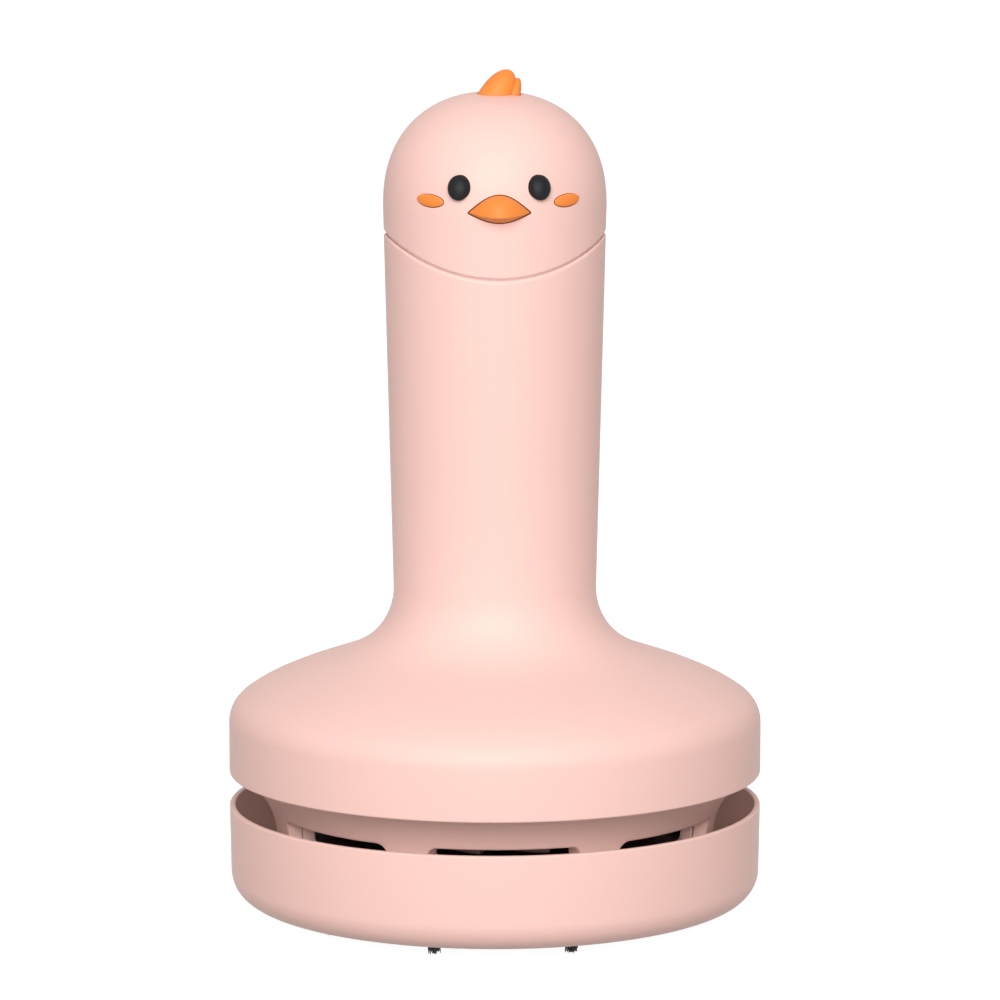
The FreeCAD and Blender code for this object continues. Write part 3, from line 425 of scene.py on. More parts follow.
# --- Inner ring, mouth collar and seal ---
# The ring stands up inside the fan housing and carries the silicone seal that holds the cup on. The
# collar round the mouth keeps the dust in. Both are pink ABS, pressed into the bowl's floor.
ring_round = 0.4
seal_depth = 0.8
rubber_grey = (0.016, 0.016, 0.018, 1)
seal_low, seal_high = mm_box("cup_seal")

ring = turned("cup_inner_ring", pink_plastic, (ring_high.x - ring_wall, ring_low.z), 0, [
    ("reach", ring_high.x),
    ("turn", 90),
    ("rise", seal_low.z - fit_gap),
    ("turn", 90),
    ("run", seal_depth),
    ("turn", -90),
    ("rise", seal_high.z + fit_gap),
    ("turn", -90),
    ("run", seal_depth),
    ("turn", 90),
    ("rise", ring_high.z - ring_round),
    ("bend", ring_round, 90),
    ("run", ring_wall - 2 * ring_round),
    ("bend", ring_round, 90)])
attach(ring, "dust_cup")
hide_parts("cup_ring")

collar_wall = 1.4
collar_round = 0.45
collar_lip = 0.84
collar = turned("mouth_collar_ring", pink_plastic, (collar_high.x, collar_low.z), 90, [
    ("rise", collar_high.z - collar_round),
    ("bend", collar_round, 90),
    ("run", collar_wall - 2 * collar_round),
    ("bend", collar_round, 90),
    ("rise", collar_low.z + collar_lip),
    ("bend", collar_lip, 90)], small_round_steps)
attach(collar, "dust_cup")
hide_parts("mouth_collar")

seal_rubber = moulded("silicone_grey", rubber_grey, 0.62, grain=900.0, depth=0.00002, specular=0.4)
lip_round = 0.33
seal = turned("cup_seal_ring", seal_rubber, (seal_high.x - seal_depth, seal_low.z), 0, [
    ("reach", seal_high.x - lip_round),
    ("bend", lip_round, 180),
    ("turn", -90),
    ("rise", seal_high.z - 2 * lip_round),
    ("turn", -90),
    ("reach", seal_high.x - lip_round),
    ("bend", lip_round, 180),
    ("reach", seal_high.x - seal_depth)])
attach(seal, "dust_cup")
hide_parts("cup_seal")


# --- Brush tufts ---
# Nine tufts of black nylon, each a bundle of bristles folded into its socket. They sweep crumbs to
# the mouth, and the cleaner stands on their ends.
bristle_radius = 0.085
bristle_taper = 0.8
bristle_splay = 0.16
bristle_stray = 0.05
bristles_in_tuft = 61
bristles_full_length = 9
bristle_shorter = 0.8
bristle_black = (0.012, 0.012, 0.012, 1)
nylon = moulded("nylon_black", bristle_black, 0.38, grain=4200.0, depth=0.000006)
bristles = bmesh.new()
dice = random.Random(7)
for place in tuft_places:
    for index in range(bristles_in_tuft):
        # A sunflower spiral spreads the bristles evenly over the socket.
        out = (tuft_radius - bristle_radius) * math.sqrt((index + 0.5) / bristles_in_tuft)
        turn = index * math.pi * (3 - math.sqrt(5))
        root = place + Vector((out * math.cos(turn), out * math.sin(turn), tuft_high.z))
        tip = root + Vector((math.cos(turn), math.sin(turn), 0)) * out * bristle_splay
        tip += Vector((dice.uniform(-bristle_stray, bristle_stray),
                       dice.uniform(-bristle_stray, bristle_stray), 0))
        shorter = dice.uniform(0.0, bristle_shorter) * (index >= bristles_full_length)
        tip.z = tuft_low.z + hair + shorter
        middle = (root + tip) / 2
        lean = (root - tip).to_track_quat("Z", "Y").to_matrix().to_4x4()
        bmesh.ops.create_cone(bristles, cap_ends=True, segments=6,
                              radius1=bristle_radius * bristle_taper, radius2=bristle_radius,
                              depth=(root - tip).length, matrix=Matrix.Translation(middle) @ lean)
tufts = made(bristles, "brush_bristles", nylon)
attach(tufts, "dust_cup")
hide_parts("brush_tufts")


# --- Upper shell with the neck ---
# Band, shoulder and neck are one pink moulding. The neck is the handle; it ends in a curved seam
# that the cap sits on, and it has a pocket for the thumb switch at the back.
shell_wall = 1.8
band_height = 8.6
foot_round = 0.4
shoulder_bends = [(5.4, 53.8), (26.6, 11.1), (66.0, 6.2)]
flare_toe = (24.0, 12.0)
flare_radius = 10.9
neck_root_radius = 17.1
neck_draft = 1.42
seam_radius = 29.4
seam_round = 0.7
seam_blend = 26.0
seam_gap = 0.25
seam_rows = 24
shell_low, shell_high = mm_box("main_shell")
head_low = mm_box("head_shell")[0]
seam_dip = head_low.z - 2 * seam_gap
seam_centre = seam_dip + seam_radius
base_radius = shell_high.x
shoulder_turn = sum(turn for radius, turn in shoulder_bends)
flare_turn = shoulder_turn - flare_toe[1] + neck_draft


def form_steps(inset, slope):
    # The outer form from the band's foot to the root of the neck, moved in by inset.
    shoulder = [("bend", radius - inset, turn) for radius, turn in shoulder_bends]
    flare = [("bend", flare_toe[0] + inset, -flare_toe[1]), ("bend", flare_radius + inset, -flare_turn)]
    return [("run", band_height)] + shoulder + [("run", slope)] + flare


def follow_seam(bm, level, radius, blend):
    # Slides the wall's points along its own slope until the level edge follows the curved seam.
    for vert in bm.verts:
        near = 1 - abs(vert.co.z - level) / abs(blend)
        above = (vert.co.z - level) * blend > 0
        if above or near > 0:
            weight = 1 if above else near * near * (3 - 2 * near)
            seam_height = seam_centre - math.sqrt(max(radius ** 2 - vert.co.x ** 2, 0))
            shift = (seam_height - level) * weight
            grow = shift * math.tan(math.radians(neck_draft)) / math.hypot(vert.co.x, vert.co.y)
            vert.co.x *= 1 + grow
            vert.co.y *= 1 + grow
            vert.co.z += shift


# A trial with a slope of 1 mm shows how long it has to be for the flare to end at the neck's root.
trial = bmesh.new()
trial_root = trace(trial, (base_radius, shell_low.z), 90, form_steps(0, 1.0))
slope = 1.0 + (trial_root.co.x - neck_root_radius) / math.sin(math.radians(shoulder_turn))
trial.free()

shell_outline = bmesh.new()
outer_start = shell_outline.verts.new((base_radius - foot_round, 0, shell_low.z))
outer_top = trace(shell_outline, outer_start, 0, [("bend", foot_round, 90),
                                                  ("rise", shell_low.z + band_height)]
                  + form_steps(0, slope)[1:]
                  + [("rise", seam_dip - seam_blend)])
neck_at_top = outer_top.co.x
neck_top_height = outer_top.co.z
outer_edge = trace(shell_outline, outer_top, 90 - neck_draft, [("rise", seam_dip - seam_round),
                                                               ("bend", seam_round, 90 + neck_draft)])
inner_start = shell_outline.verts.new((base_radius - shell_wall, 0, shell_low.z))
inner_top = trace(shell_outline, inner_start, 90, form_steps(shell_wall, slope)
                  + [("rise", seam_dip - seam_blend)])
inner_edge = trace(shell_outline, inner_top, 90 - neck_draft, [("rise", seam_dip)])
for ends in ([outer_edge, inner_edge], [outer_start, inner_start]):
    bmesh.ops.contextual_create(shell_outline, geom=ends)
long_runs = [edge for edge in shell_outline.edges if edge.calc_length() > seam_blend - 2 * seam_round]
bmesh.ops.subdivide_edges(shell_outline, edges=long_runs, cuts=seam_rows)
turn_on_axis(shell_outline)
follow_seam(shell_outline, seam_dip, seam_radius, seam_blend)
shell = made(shell_outline, "upper_shell", pink_plastic)


def neck_radius(z):
    return neck_at_top + (z - neck_top_height) * math.tan(math.radians(neck_draft))


plug_segments = 40
plug_span_cuts = 11
mouth_facet = 15
mouth_over = 1.03


def slot_plug(width, tall, corner, rows, height, wall_radius, narrowing=0):
    # A plug with a rounded-rectangle outline at the back of a round wall, whose radius is given as a
    # function of the height. Each row is (how much wider than the outline, how deep below the wall's
    # surface, 1 to follow its curve or 0 for flat). With a narrowing of 1 its sides point at the axis.
    bm = bmesh.new()
    spoke = bm.verts.layers.float_vector.new("spoke")
    corner_middle = bm.verts.layers.float_vector.new("corner_middle")
    stand = Matrix.Rotation(math.radians(90), 4, "X") @ Matrix.Rotation(math.pi / plug_segments, 4, "Z")
    bmesh.ops.create_circle(bm, cap_ends=False, segments=plug_segments, radius=1.0, matrix=stand)
    for vert in bm.verts:
        vert[spoke] = vert.co
        vert[corner_middle] = (math.copysign(width / 2 - corner, vert.co.x), 0,
                               math.copysign(tall / 2 - corner, vert.co.z))
    spans = [edge for edge in bm.edges if edge.verts[0].co.x * edge.verts[1].co.x < 0]
    bmesh.ops.subdivide_edges(bm, edges=spans, cuts=plug_span_cuts)
    loop = bm.verts[:]
    ends = [bm.edges[:]]
    for index, (grow, depth, curved) in enumerate(rows):
        if index:
            made_now = bmesh.ops.extrude_edge_only(bm, edges=ends[-1])["geom"]
            loop = verts_in(made_now)
            ends.append([part for part in made_now if isinstance(part, bmesh.types.BMEdge)
                         and all(vert in loop for vert in part.verts)])
        for vert in loop:
            spot = vert[corner_middle] + vert[spoke] * (corner + grow)
            vert.co.z = height + spot.z
            surface = wall_radius(vert.co.z if curved else height)
            vert.co.x = spot.x
            vert.co.x *= 1 + narrowing * ((surface - depth) / wall_radius(height) - 1)
            fall = surface - math.sqrt(surface ** 2 - vert.co.x ** 2)
            vert.co.y = surface - depth - fall * curved
    for rim in (ends[0], ends[-1]):
        bmesh.ops.contextual_create(bm, geom=rim)
    return bm


def rounded_mouth(flare, depth, reach, curved_floor=1):
    # Rows for a plug whose hole opens through a rounded edge of radius flare.
    rows = [(flare * mouth_over, -reach, 0), (flare * mouth_over, -hair, 1)]
    for angle in range(mouth_facet, 91, mouth_facet):
        turn = math.radians(angle)
        rows.append((flare - flare * math.sin(turn), flare - flare * math.cos(turn), 1))
    return rows + [(0, depth, curved_floor)]


# The thumb switch's pocket and the slot that its stem reaches through.
slider_low, slider_high = mm_box("switch_slider")
slider_width = slider_high.x - slider_low.x
slider_length = slider_high.z - slider_low.z
slider_middle = (slider_high.z + slider_low.z) / 2
switch_travel = 4.0
moving_gap = 0.3
pocket_depth = 1.3
pocket_round = 0.35
stem_width = 2.8
stem_length = 3.2
stem_slot_corner = 0.4
pocket_wall = neck_radius(slider_middle)
pocket_middle = slider_middle + switch_travel / 2
pocket_play = switch_travel + 2 * moving_gap
carve(shell, slot_plug(slider_width + 2 * moving_gap, slider_length + pocket_play,
                       slider_width / 2 + moving_gap - hair,
                       rounded_mouth(pocket_round, pocket_depth, cutter_reach, 0),
                       pocket_middle, neck_radius))
carve(shell, slot_plug(stem_width + 2 * moving_gap, stem_length + pocket_play, stem_slot_corner,
                       [(0, pocket_depth - cutter_past / 2, 0), (0, cutter_reach, 0)],
                       pocket_middle, neck_radius))
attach(shell, "housing")
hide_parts("main_shell")


# --- Fan housing with its exhaust windows ---
# The concave sweep under the shoulder and the round wall below it, one pink moulding that closes the
# shell. Six windows with softened edges let the air out above the cup's rim.
fan_low, fan_high = mm_box("fan_housing")
diffuser_low, diffuser_high = mm_box("diffuser_ring")
fan_bore = 35.15
fan_wall = 1.9
fan_outside = fan_bore + fan_wall
sweep_radius = 13.0
flange_lap = 1.7
flange_radius = base_radius - flange_lap
spigot_height = 2.1
spigot_wall = 1.6
roof_thickness = 1.6
roof_underside = diffuser_high.z
roof_top = roof_underside + roof_thickness
motor_seat = 12.25
motor_ring_wall = 1.5
nose_hole = 3.15
fan_foot_round = 0.3
window_turn = 19.3
window_corner = 1.6
window_round = 0.3
window_reach = 4.0
window_sill = diffuser_low.z + fit_gap
window_head = 18.7
window_angles = [side + turn for side in (0, 180) for turn in (-50, 0, 50)]
spigot_radius = base_radius - shell_wall - fit_gap
sweep_centre = fan_outside + sweep_radius
sweep_foot = shell_low.z - math.sqrt(sweep_radius ** 2 - (sweep_centre - flange_radius) ** 2)


def sweep_lean(radius, inset):
    # How far the concave sweep, moved into the material by inset, leans out at a radius, in degrees.
    return math.degrees(math.acos((sweep_centre - radius) / (sweep_radius + inset)))


spigot_lean = sweep_lean(spigot_radius - spigot_wall, fan_wall)
groove_lean = sweep_lean(fan_outside, fan_wall)
groove_top = sweep_foot + (sweep_radius + fan_wall) * math.sin(math.radians(spigot_lean))

fan = turned("fan_housing_shell", pink_plastic, (fan_bore, fan_low.z), 0, [
    ("reach", fan_outside - fan_foot_round),
    ("bend", fan_foot_round, 90),
    ("rise", sweep_foot),
    ("bend", sweep_radius, -sweep_lean(flange_radius, 0)),
    ("turn", 90 + sweep_lean(flange_radius, 0)),
    ("reach", spigot_radius),
    ("turn", -90),
    ("run", spigot_height),
    ("turn", 90),
    ("run", spigot_wall),
    ("turn", 90),
    ("rise", groove_top),
    ("turn", -spigot_lean),
    ("bend", sweep_radius + fan_wall, spigot_lean - groove_lean),
    ("turn", groove_lean - 180),
    ("rise", roof_top),
    ("turn", 90),
    ("reach", motor_seat + motor_ring_wall),
    ("turn", -90),
    ("rise", fan_high.z),
    ("turn", 90),
    ("reach", motor_seat),
    ("turn", 90),
    ("rise", roof_top),
    ("turn", -90),
    ("reach", nose_hole),
    ("turn", 90),
    ("rise", roof_underside),
    ("turn", 90),
    ("reach", fan_bore)])


def repeated(bm, angles):
    # The plug's own place is at the back; copies stand at the given angles from the front.
    first = bm.verts[:] + bm.edges[:] + bm.faces[:]
    copies = [bmesh.ops.duplicate(bm, geom=first)["geom"] for angle in angles[1:]]
    for copy, angle in zip([first] + copies, angles):
        swing = Matrix.Rotation(math.radians(180 + angle), 3, "Z")
        bmesh.ops.rotate(bm, verts=verts_in(copy), matrix=swing)
    return bm


def fan_radius(z):
    # The housing's outer surface: the wall and, above it, the sweep.
    return sweep_centre - math.sqrt(sweep_radius ** 2 - max(z - sweep_foot, 0) ** 2)


def window_plugs(wall_radius, depth):
    middle = (window_head + window_sill) / 2
    width = 2 * wall_radius(middle) * math.sin(math.radians(window_turn))
    rows = rounded_mouth(window_round, depth, window_reach)
    plug = slot_plug(width, window_head - window_sill, window_corner, rows, middle, wall_radius, 1)
    return repeated(plug, window_angles)


carve(fan, window_plugs(fan_radius, fan_wall + 2 * cutter_past))
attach(fan, "housing")
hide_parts("fan_housing")


# --- Diffuser ring ---
# A second pink ring just inside the fan housing, with the same windows. It carries the inlet plate
# and shows as the inner jamb of each window.
diffuser_wall = 2.0
bore_past = 0.4
diffuser_bore = diffuser_high.x - diffuser_wall
diffuser = turned("diffuser_inner_ring", pink_plastic, (diffuser_bore, diffuser_low.z), 0, [
    ("reach", diffuser_high.x),
    ("turn", 90),
    ("rise", diffuser_high.z),
    ("turn", 90),
    ("reach", diffuser_bore)])
carve(diffuser, window_plugs(lambda z: diffuser_high.x, diffuser_wall + bore_past))
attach(diffuser, "housing")
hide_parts("diffuser_ring")


# --- Inlet plate, its screws and the filter ---
# The black plate is the floor of the fan chamber, with the eye that the fan draws through. The
# filter under it is a black spoked frame with pleated white cloth, pulled out by its grip.
plate_low, plate_high = mm_box("inlet_plate")
plate_thickness = 1.4
plate_eye = 13.0
plate_fillet = 0.6
plate_lip_round = 0.4
plate_mouth_round = 0.8
plate_round_steps = 128
black = (0.010, 0.010, 0.010, 1)
cloth_white = (0.76, 0.76, 0.71, 1)
black_plastic = moulded("black_abs", black, 0.46)
plate_black = moulded("plate_abs", (0.045, 0.032, 0.028, 1), 0.4)
plate = turned("inlet_plate_disc", plate_black, (plate_high.x, plate_low.z), 90, [
    ("run", plate_thickness),
    ("turn", 90),
    ("reach", plate_eye + plate_thickness + plate_fillet),
    ("bend", plate_fillet, -90),
    ("rise", plate_high.z - plate_lip_round),
    ("bend", plate_lip_round, 90),
    ("reach", plate_eye + plate_lip_round),
    ("bend", plate_lip_round, 90),
    ("rise", plate_low.z + plate_mouth_round),
    ("bend", plate_mouth_round, 90)], plate_round_steps)
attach(plate, "housing")
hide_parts("inlet_plate")


# Metal that was drawn or turned: fine streaks, with a soft unevenness in colour and shine.
drawn = surface_texture("drawn_texture", detail=4.0, roughness=0.65, clouds=160.0, cloud_detail=3.0,
                        shade=(0.88, 1.06), dulling=(-0.1, 0.12))


def metal(name, colour, roughness, stretch=(2400, 2400, 120), depth=0.000008):
    return textured(name, drawn, colour, roughness, stretch, 0.5, depth, Metallic=1.0)


def dress(finish, *nodes):
    # Gives nodes of the frame, whose shape stays, their real finish.
    for node in nodes:
        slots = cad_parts[node].data.materials
        slots.clear()
        slots.append(finish)


steel = metal("drawn_steel", (0.56, 0.56, 0.57, 1), 0.30)
dress(steel, "inlet_screws", "housing_screws", "motor_screws")
dress(black_plastic, "filter_frame")

filter_low, filter_high = mm_box("filter_mesh")
cloth_thickness = 0.5
pleat_count = 22
fold_round = 0.2
filter_cloth = moulded("pleated_cloth", cloth_white, 0.9, grain=2200.0, depth=0.00006, specular=0.1)
pleats = bmesh.new()
pleat_width = filter_high.x / pleat_count
fold = math.degrees(math.atan2(filter_high.z - filter_low.z - cloth_thickness, pleat_width))
trace(pleats, (hair, filter_low.z), 0, [
    step for index in range(pleat_count) for step in (
        ("turn", fold if index % 2 == 0 else -fold),
        ("reach", (index + 1) * pleat_width),
        ("turn", -fold if index % 2 == 0 else fold))])
folds = [vert for vert in pleats.verts if len(vert.link_edges) == 2]
bmesh.ops.bevel(pleats, geom=folds, offset=fold_round, segments=3, profile=0.5, affect="VERTICES")
turn_on_axis(pleats, steps=small_round_steps)
bmesh.ops.solidify(pleats, geom=pleats.faces[:], thickness=cloth_thickness)
cloth = made(pleats, "filter_pleats", filter_cloth)
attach(cloth, "housing")
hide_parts("filter_mesh")


# --- Impeller ---
# An open centrifugal fan wheel of black plastic: backplate, hub with its bore for the shaft, and
# sixteen swept blades. It is coloured mauve brown instead of black, painted pink light inside the
# shaded housing, so its blades show as dim pinkish brown through the windows.
wheel_low, wheel_high = mm_box("impeller")
blade_count = 16
blade_thickness = 1.0
blade_sweep = 38.0
blade_bow = 0.36
blade_inset = 0.1
blade_foot_round = 0.3
blade_cuts = 14
wheel_eye = 13.6
backplate = 1.0
hub_nose = 3.0
hub_foot = 5.0
hub_fillet = 1.2
hub_fillet_rise = 0.8
wheel_edge_round = 0.4
wheel_round_steps = 144
shaft_bore = 1.0
hub_lean = math.degrees(math.atan2(wheel_high.z - wheel_low.z, hub_foot - hub_nose))
# Black plastic given a mauve brown colour: painted pink light on the blades deep in the housing.
wheel_with_painted_light = moulded("wheel_abs_painted_light", (0.27, 0.19, 0.168, 1), 0.34, depth=0.000006)
wheel = turned("impeller_wheel", wheel_with_painted_light, (shaft_bore, wheel_low.z), 0, [
    ("reach", hub_nose),
    ("turn", hub_lean),
    ("rise", wheel_high.z - backplate - hub_fillet_rise),
    ("bend", hub_fillet, -hub_lean),
    ("reach", wheel_high.x - wheel_edge_round),
    ("bend", wheel_edge_round, 90),
    ("rise", wheel_high.z),
    ("turn", 90),
    ("reach", shaft_bore)], wheel_round_steps)

# A blade's middle line is the arc through its inner tip, its outer tip and a point on the way.
inner_tip = at_angle(wheel_eye, 0)
half_way = at_angle((wheel_eye + wheel_high.x) / 2, blade_sweep * blade_bow)
outer_tip = at_angle(wheel_high.x - blade_inset, blade_sweep)
chord_a = half_way - inner_tip
chord_b = outer_tip - half_way
between = (outer_tip - inner_tip) / 2
cross = chord_a.x * chord_b.y - chord_a.y * chord_b.x
blade_centre = (half_way + inner_tip) / 2
blade_centre += Vector((-chord_a.y, chord_a.x, 0)) * between.dot(chord_b) / cross
blade_turn = (inner_tip - blade_centre).angle(outer_tip - blade_centre) * math.copysign(1, cross)
blade = bmesh.new()
root = blade.verts.new((inner_tip.x, inner_tip.y, wheel_low.z))
bmesh.ops.spin(blade, geom=[root], cent=(blade_centre.x, blade_centre.y, wheel_low.z), axis=(0, 0, 1),
               angle=blade_turn, steps=blade_cuts)
raised = bmesh.ops.extrude_edge_only(blade, edges=blade.edges[:])["geom"]
bmesh.ops.translate(blade, verts=verts_in(raised),
                    vec=(0, 0, wheel_high.z - wheel_low.z - backplate / 2))
bmesh.ops.recalc_face_normals(blade, faces=blade.faces[:])
bmesh.ops.solidify(blade, geom=blade.faces[:], thickness=blade_thickness)
foot_edges = [edge for edge in blade.edges if all(vert.co.z < wheel_low.z + hair for vert in edge.verts)
              and edge.calc_face_angle(0) > 1]
bmesh.ops.bevel(blade, geom=foot_edges, offset=blade_foot_round, segments=2, profile=0.5,
                affect="EDGES")
blade_angles = [180 + index * 360 / blade_count for index in range(blade_count)]
carve(wheel, repeated(blade, blade_angles), "UNION")
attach(wheel, "impeller")
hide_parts("impeller")


# --- Motor ---
# A small brushed motor: drawn steel can with two magnets, a three-pole armature with copper windings
# on a ground shaft, a commutator, bronze bushes and a black end cap with two brass tabs.
ground_steel = metal("ground_steel", (0.62, 0.62, 0.63, 1), 0.18, stretch=(300, 300, 5200))
copper = metal("enamelled_copper", (0.60, 0.20, 0.075, 1), 0.28, stretch=(700, 700, 7000),
               depth=0.00003)
brass = metal("stamped_brass", (0.71, 0.50, 0.20, 1), 0.30, stretch=(500, 4200, 500))
ferrite = moulded("sintered_ferrite", (0.030, 0.030, 0.033, 1), 0.66, grain=3400.0, depth=0.00003)
dress(steel, "motor_can", "motor_armature")
dress(ground_steel, "motor_shaft")
dress(copper, "motor_windings", "commutator")
dress(brass, "motor_bushes", "motor_terminals", "contact_spring", "contact_plate", "bridge_contact")
dress(ferrite, "motor_magnets")
dress(black_plastic, "motor_end_cap", "switch_body", "switch_lever")


# --- Batteries and their cradle ---
# Two AA cells, one each way up, in a white cradle inside the neck. A cell is a drawn can in a plain
# printed sleeve, rolled over at both ends, with a steel button.
white_plastic = moulded("white_abs", (0.72, 0.70, 0.66, 1), 0.48)
dress(white_plastic, "battery_cradle")
button_radius = 2.7
button_height = 1.0
button_round = 0.35
base_groove = 0.35
base_groove_inset = 1.6
sleeve_round = 0.7
sleeve_roll = 1.3
sleeve_roll_round = 0.3
bare_end = 1.25
sleeve_green = (0.022, 0.115, 0.085, 1)
bare_steel = (0.50, 0.50, 0.51, 1)
sleeve_band = 9.0


def sleeve_finish(name, low, high, aside, radius, band_low):
    # A glossy sleeve with a silver band at the button's end; bare steel at both end faces.
    finish = moulded(name, sleeve_green, 0.27, grain=700.0, depth=0.00001, coat=0.4)
    tree = finish.node_tree
    place = put(tree, "TexCoord").outputs["Object"]
    height = put(tree, "SeparateXYZ", Vector=place).outputs["Z"]
    along = put(tree, "MapRange", Value=height, From_Min=low * MM, From_Max=high * MM)
    band = put(tree, "ValToRGB", Fac=along.outputs["Result"])
    band.color_ramp.interpolation = "CONSTANT"
    share = sleeve_band / (high - low)
    first, second = band.color_ramp.elements
    first.color = (band_low, band_low, band_low, 1)
    second.color = (1 - band_low, 1 - band_low, 1 - band_low, 1)
    second.position = share if band_low else 1 - share
    centred = put(tree, "Mapping", Vector=place, Location=(-aside * MM, 0, 0), Scale=(1, 1, 0))
    distance = put(tree, "VectorMath", {"operation": "LENGTH"}, Vector=centred.outputs[0])
    end_face = put(tree, "Math", {"operation": "LESS_THAN"})
    end_face.inputs[1].default_value = radius * MM
    tree.links.new(distance.outputs["Value"], end_face.inputs[0])
    bare = put(tree, "Math", {"operation": "MAXIMUM"})
    tree.links.new(band.outputs[0], bare.inputs[0])
    tree.links.new(end_face.outputs[0], bare.inputs[1])
    return recolour(finish, bare.outputs[0], bare_steel, "Metallic")


for node, button_up in (("battery_left", True), ("battery_right", False)):
    cell_low, cell_high = mm_box(node)
    cell_radius = (cell_high.x - cell_low.x) / 2
    cell_length = cell_high.z - cell_low.z
    cell_middle = (cell_low.x + cell_high.x) / 2
    cell_outline = bmesh.new()
    trace(cell_outline, (0, 0), 0, [
        ("reach", cell_radius - base_groove_inset),
        ("turn", -45),
        ("run", base_groove),
        ("turn", 45),
        ("reach", cell_radius - sleeve_round),
        ("bend", sleeve_round, 90),
        ("rise", cell_length - button_height - sleeve_round),
        ("bend", sleeve_round, 90),
        ("reach", cell_radius - sleeve_roll),
        ("bend", sleeve_roll_round, 90),
        ("turn", -90),
        ("reach", button_radius),
        ("turn", -90),
        ("rise", cell_length - button_round),
        ("bend", button_round, 90),
        ("reach", 0)])
    turn_on_axis(cell_outline, steps=small_round_steps)
    if not button_up:
        bmesh.ops.rotate(cell_outline, cent=(0, 0, cell_length / 2), verts=cell_outline.verts[:],
                         matrix=Matrix.Rotation(math.pi, 3, "Y"))
    lowest = min(vert.co.z for vert in cell_outline.verts)
    bmesh.ops.translate(cell_outline, verts=cell_outline.verts[:],
                        vec=(cell_middle, 0, cell_low.z - lowest))
    cell = made(cell_outline, node.replace("battery", "cell"),
                sleeve_finish("sleeve_" + node, cell_low.z, cell_high.z, cell_middle,
                              cell_radius - bare_end, not button_up))
    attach(cell, "housing")
    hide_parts(node)


# --- Thumb switch ---
# A pink slider in the pocket at the back of the neck, with grip grooves across it. Its stem goes
# through the wall and moves the switch's lever.
slider_foot = pocket_wall - pocket_depth + moving_gap
slider_proud = 0.9
slider_round = 0.55
groove_radius = 0.62
groove_lift = 0.25
groove_pitch = 1.7
stem_round = 0.15
slider_rows = [(0, pocket_wall - slider_foot, 0)]
for angle in range(0, 91, mouth_facet):
    turn = math.radians(angle)
    slider_rows.append((slider_round * (math.cos(turn) - 1),
                        slider_round * (1 - math.sin(turn)) - slider_proud, 0))
pad = slot_plug(slider_width, slider_length, slider_width / 2 - hair, slider_rows, slider_middle,
                neck_radius)
slider = made(pad, "thumb_slider", pink_plastic)
grooves = bmesh.new()
for step in (-1.5, -0.5, 0.5, 1.5):
    lying = Matrix.Translation((0, pocket_wall + slider_proud + groove_lift,
                                slider_middle + step * groove_pitch))
    bmesh.ops.create_cone(grooves, cap_ends=True, segments=cutter_segments, radius1=groove_radius,
                          radius2=groove_radius, depth=slider_width + 2 * cutter_past,
                          matrix=lying @ Matrix.Rotation(math.radians(90), 4, "Y"))
carve(slider, grooves)
stem = bmesh.new()
stem_inner = slider_low.y
stem_outer = slider_foot + cutter_past / 2
bmesh.ops.create_cube(stem, size=1.0)
bmesh.ops.scale(stem, vec=(stem_width, stem_outer - stem_inner, stem_length), verts=stem.verts[:])
bmesh.ops.translate(stem, vec=(0, (stem_outer + stem_inner) / 2, slider_middle), verts=stem.verts[:])
bmesh.ops.bevel(stem, geom=stem.edges[:], offset=stem_round, segments=2, profile=0.5, affect="EDGES")
carve(slider, stem, "UNION")
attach(slider, "switch_slider")
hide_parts("switch_slider")


# --- Cap ---
# The bird's head: a pink moulded dome with a curved lower edge that follows the seam, and a low lip
# inside it that keeps light out. A white plug enters the neck and carries the cells' bridge.
dome_rise = 18.9
dome_fullness = 2.26
dome_steps = 48
cap_top = 139.5
dome_base = cap_top - dome_rise
cap_edge = seam_dip + seam_gap
cap_edge_round = 0.35
cap_rows = 20
cap_lip = 0.2
lip_inset = 0.5


def dome(bm, vert, rise):
    # A superellipse from the wall up to the middle of the top.
    radius = vert.co.x
    base = vert.co.z
    for index in range(1, dome_steps + 1):
        turn = math.radians(90 * index / dome_steps)
        vert = extended(bm, vert, (radius * max(math.cos(turn), 0) ** (2 / dome_fullness), 0,
                                   base + rise * math.sin(turn) ** (2 / dome_fullness)))
    vert.co.x = 0


cap_outline = bmesh.new()
cap_inner = cap_outline.verts.new((neck_radius(cap_edge) - shell_wall, 0, cap_edge - cap_lip))
outer_foot = trace(cap_outline, cap_inner, 0, [
    ("reach", neck_radius(cap_edge) - lip_inset),
    ("turn", 90),
    ("run", cap_lip),
    ("turn", -90),
    ("reach", neck_radius(cap_edge) - cap_edge_round),
    ("bend", cap_edge_round, 90 - neck_draft)])
outer_shoulder = trace(cap_outline, outer_foot, 90 - neck_draft, [("rise", dome_base)])
inner_shoulder = trace(cap_outline, cap_inner, 90 - neck_draft, [("rise", dome_base)])
straight_runs = [edge for edge in cap_outline.edges if edge.calc_length() > shell_wall]
dome(cap_outline, outer_shoulder, dome_rise)
dome(cap_outline, inner_shoulder, dome_rise - shell_wall)
bmesh.ops.subdivide_edges(cap_outline, edges=straight_runs, cuts=cap_rows)
turn_on_axis(cap_outline)
follow_seam(cap_outline, cap_edge, seam_radius - seam_gap, cap_edge - dome_base)
cap = made(cap_outline, "cap_shell", pink_plastic)
dress(white_plastic, "head_plug")
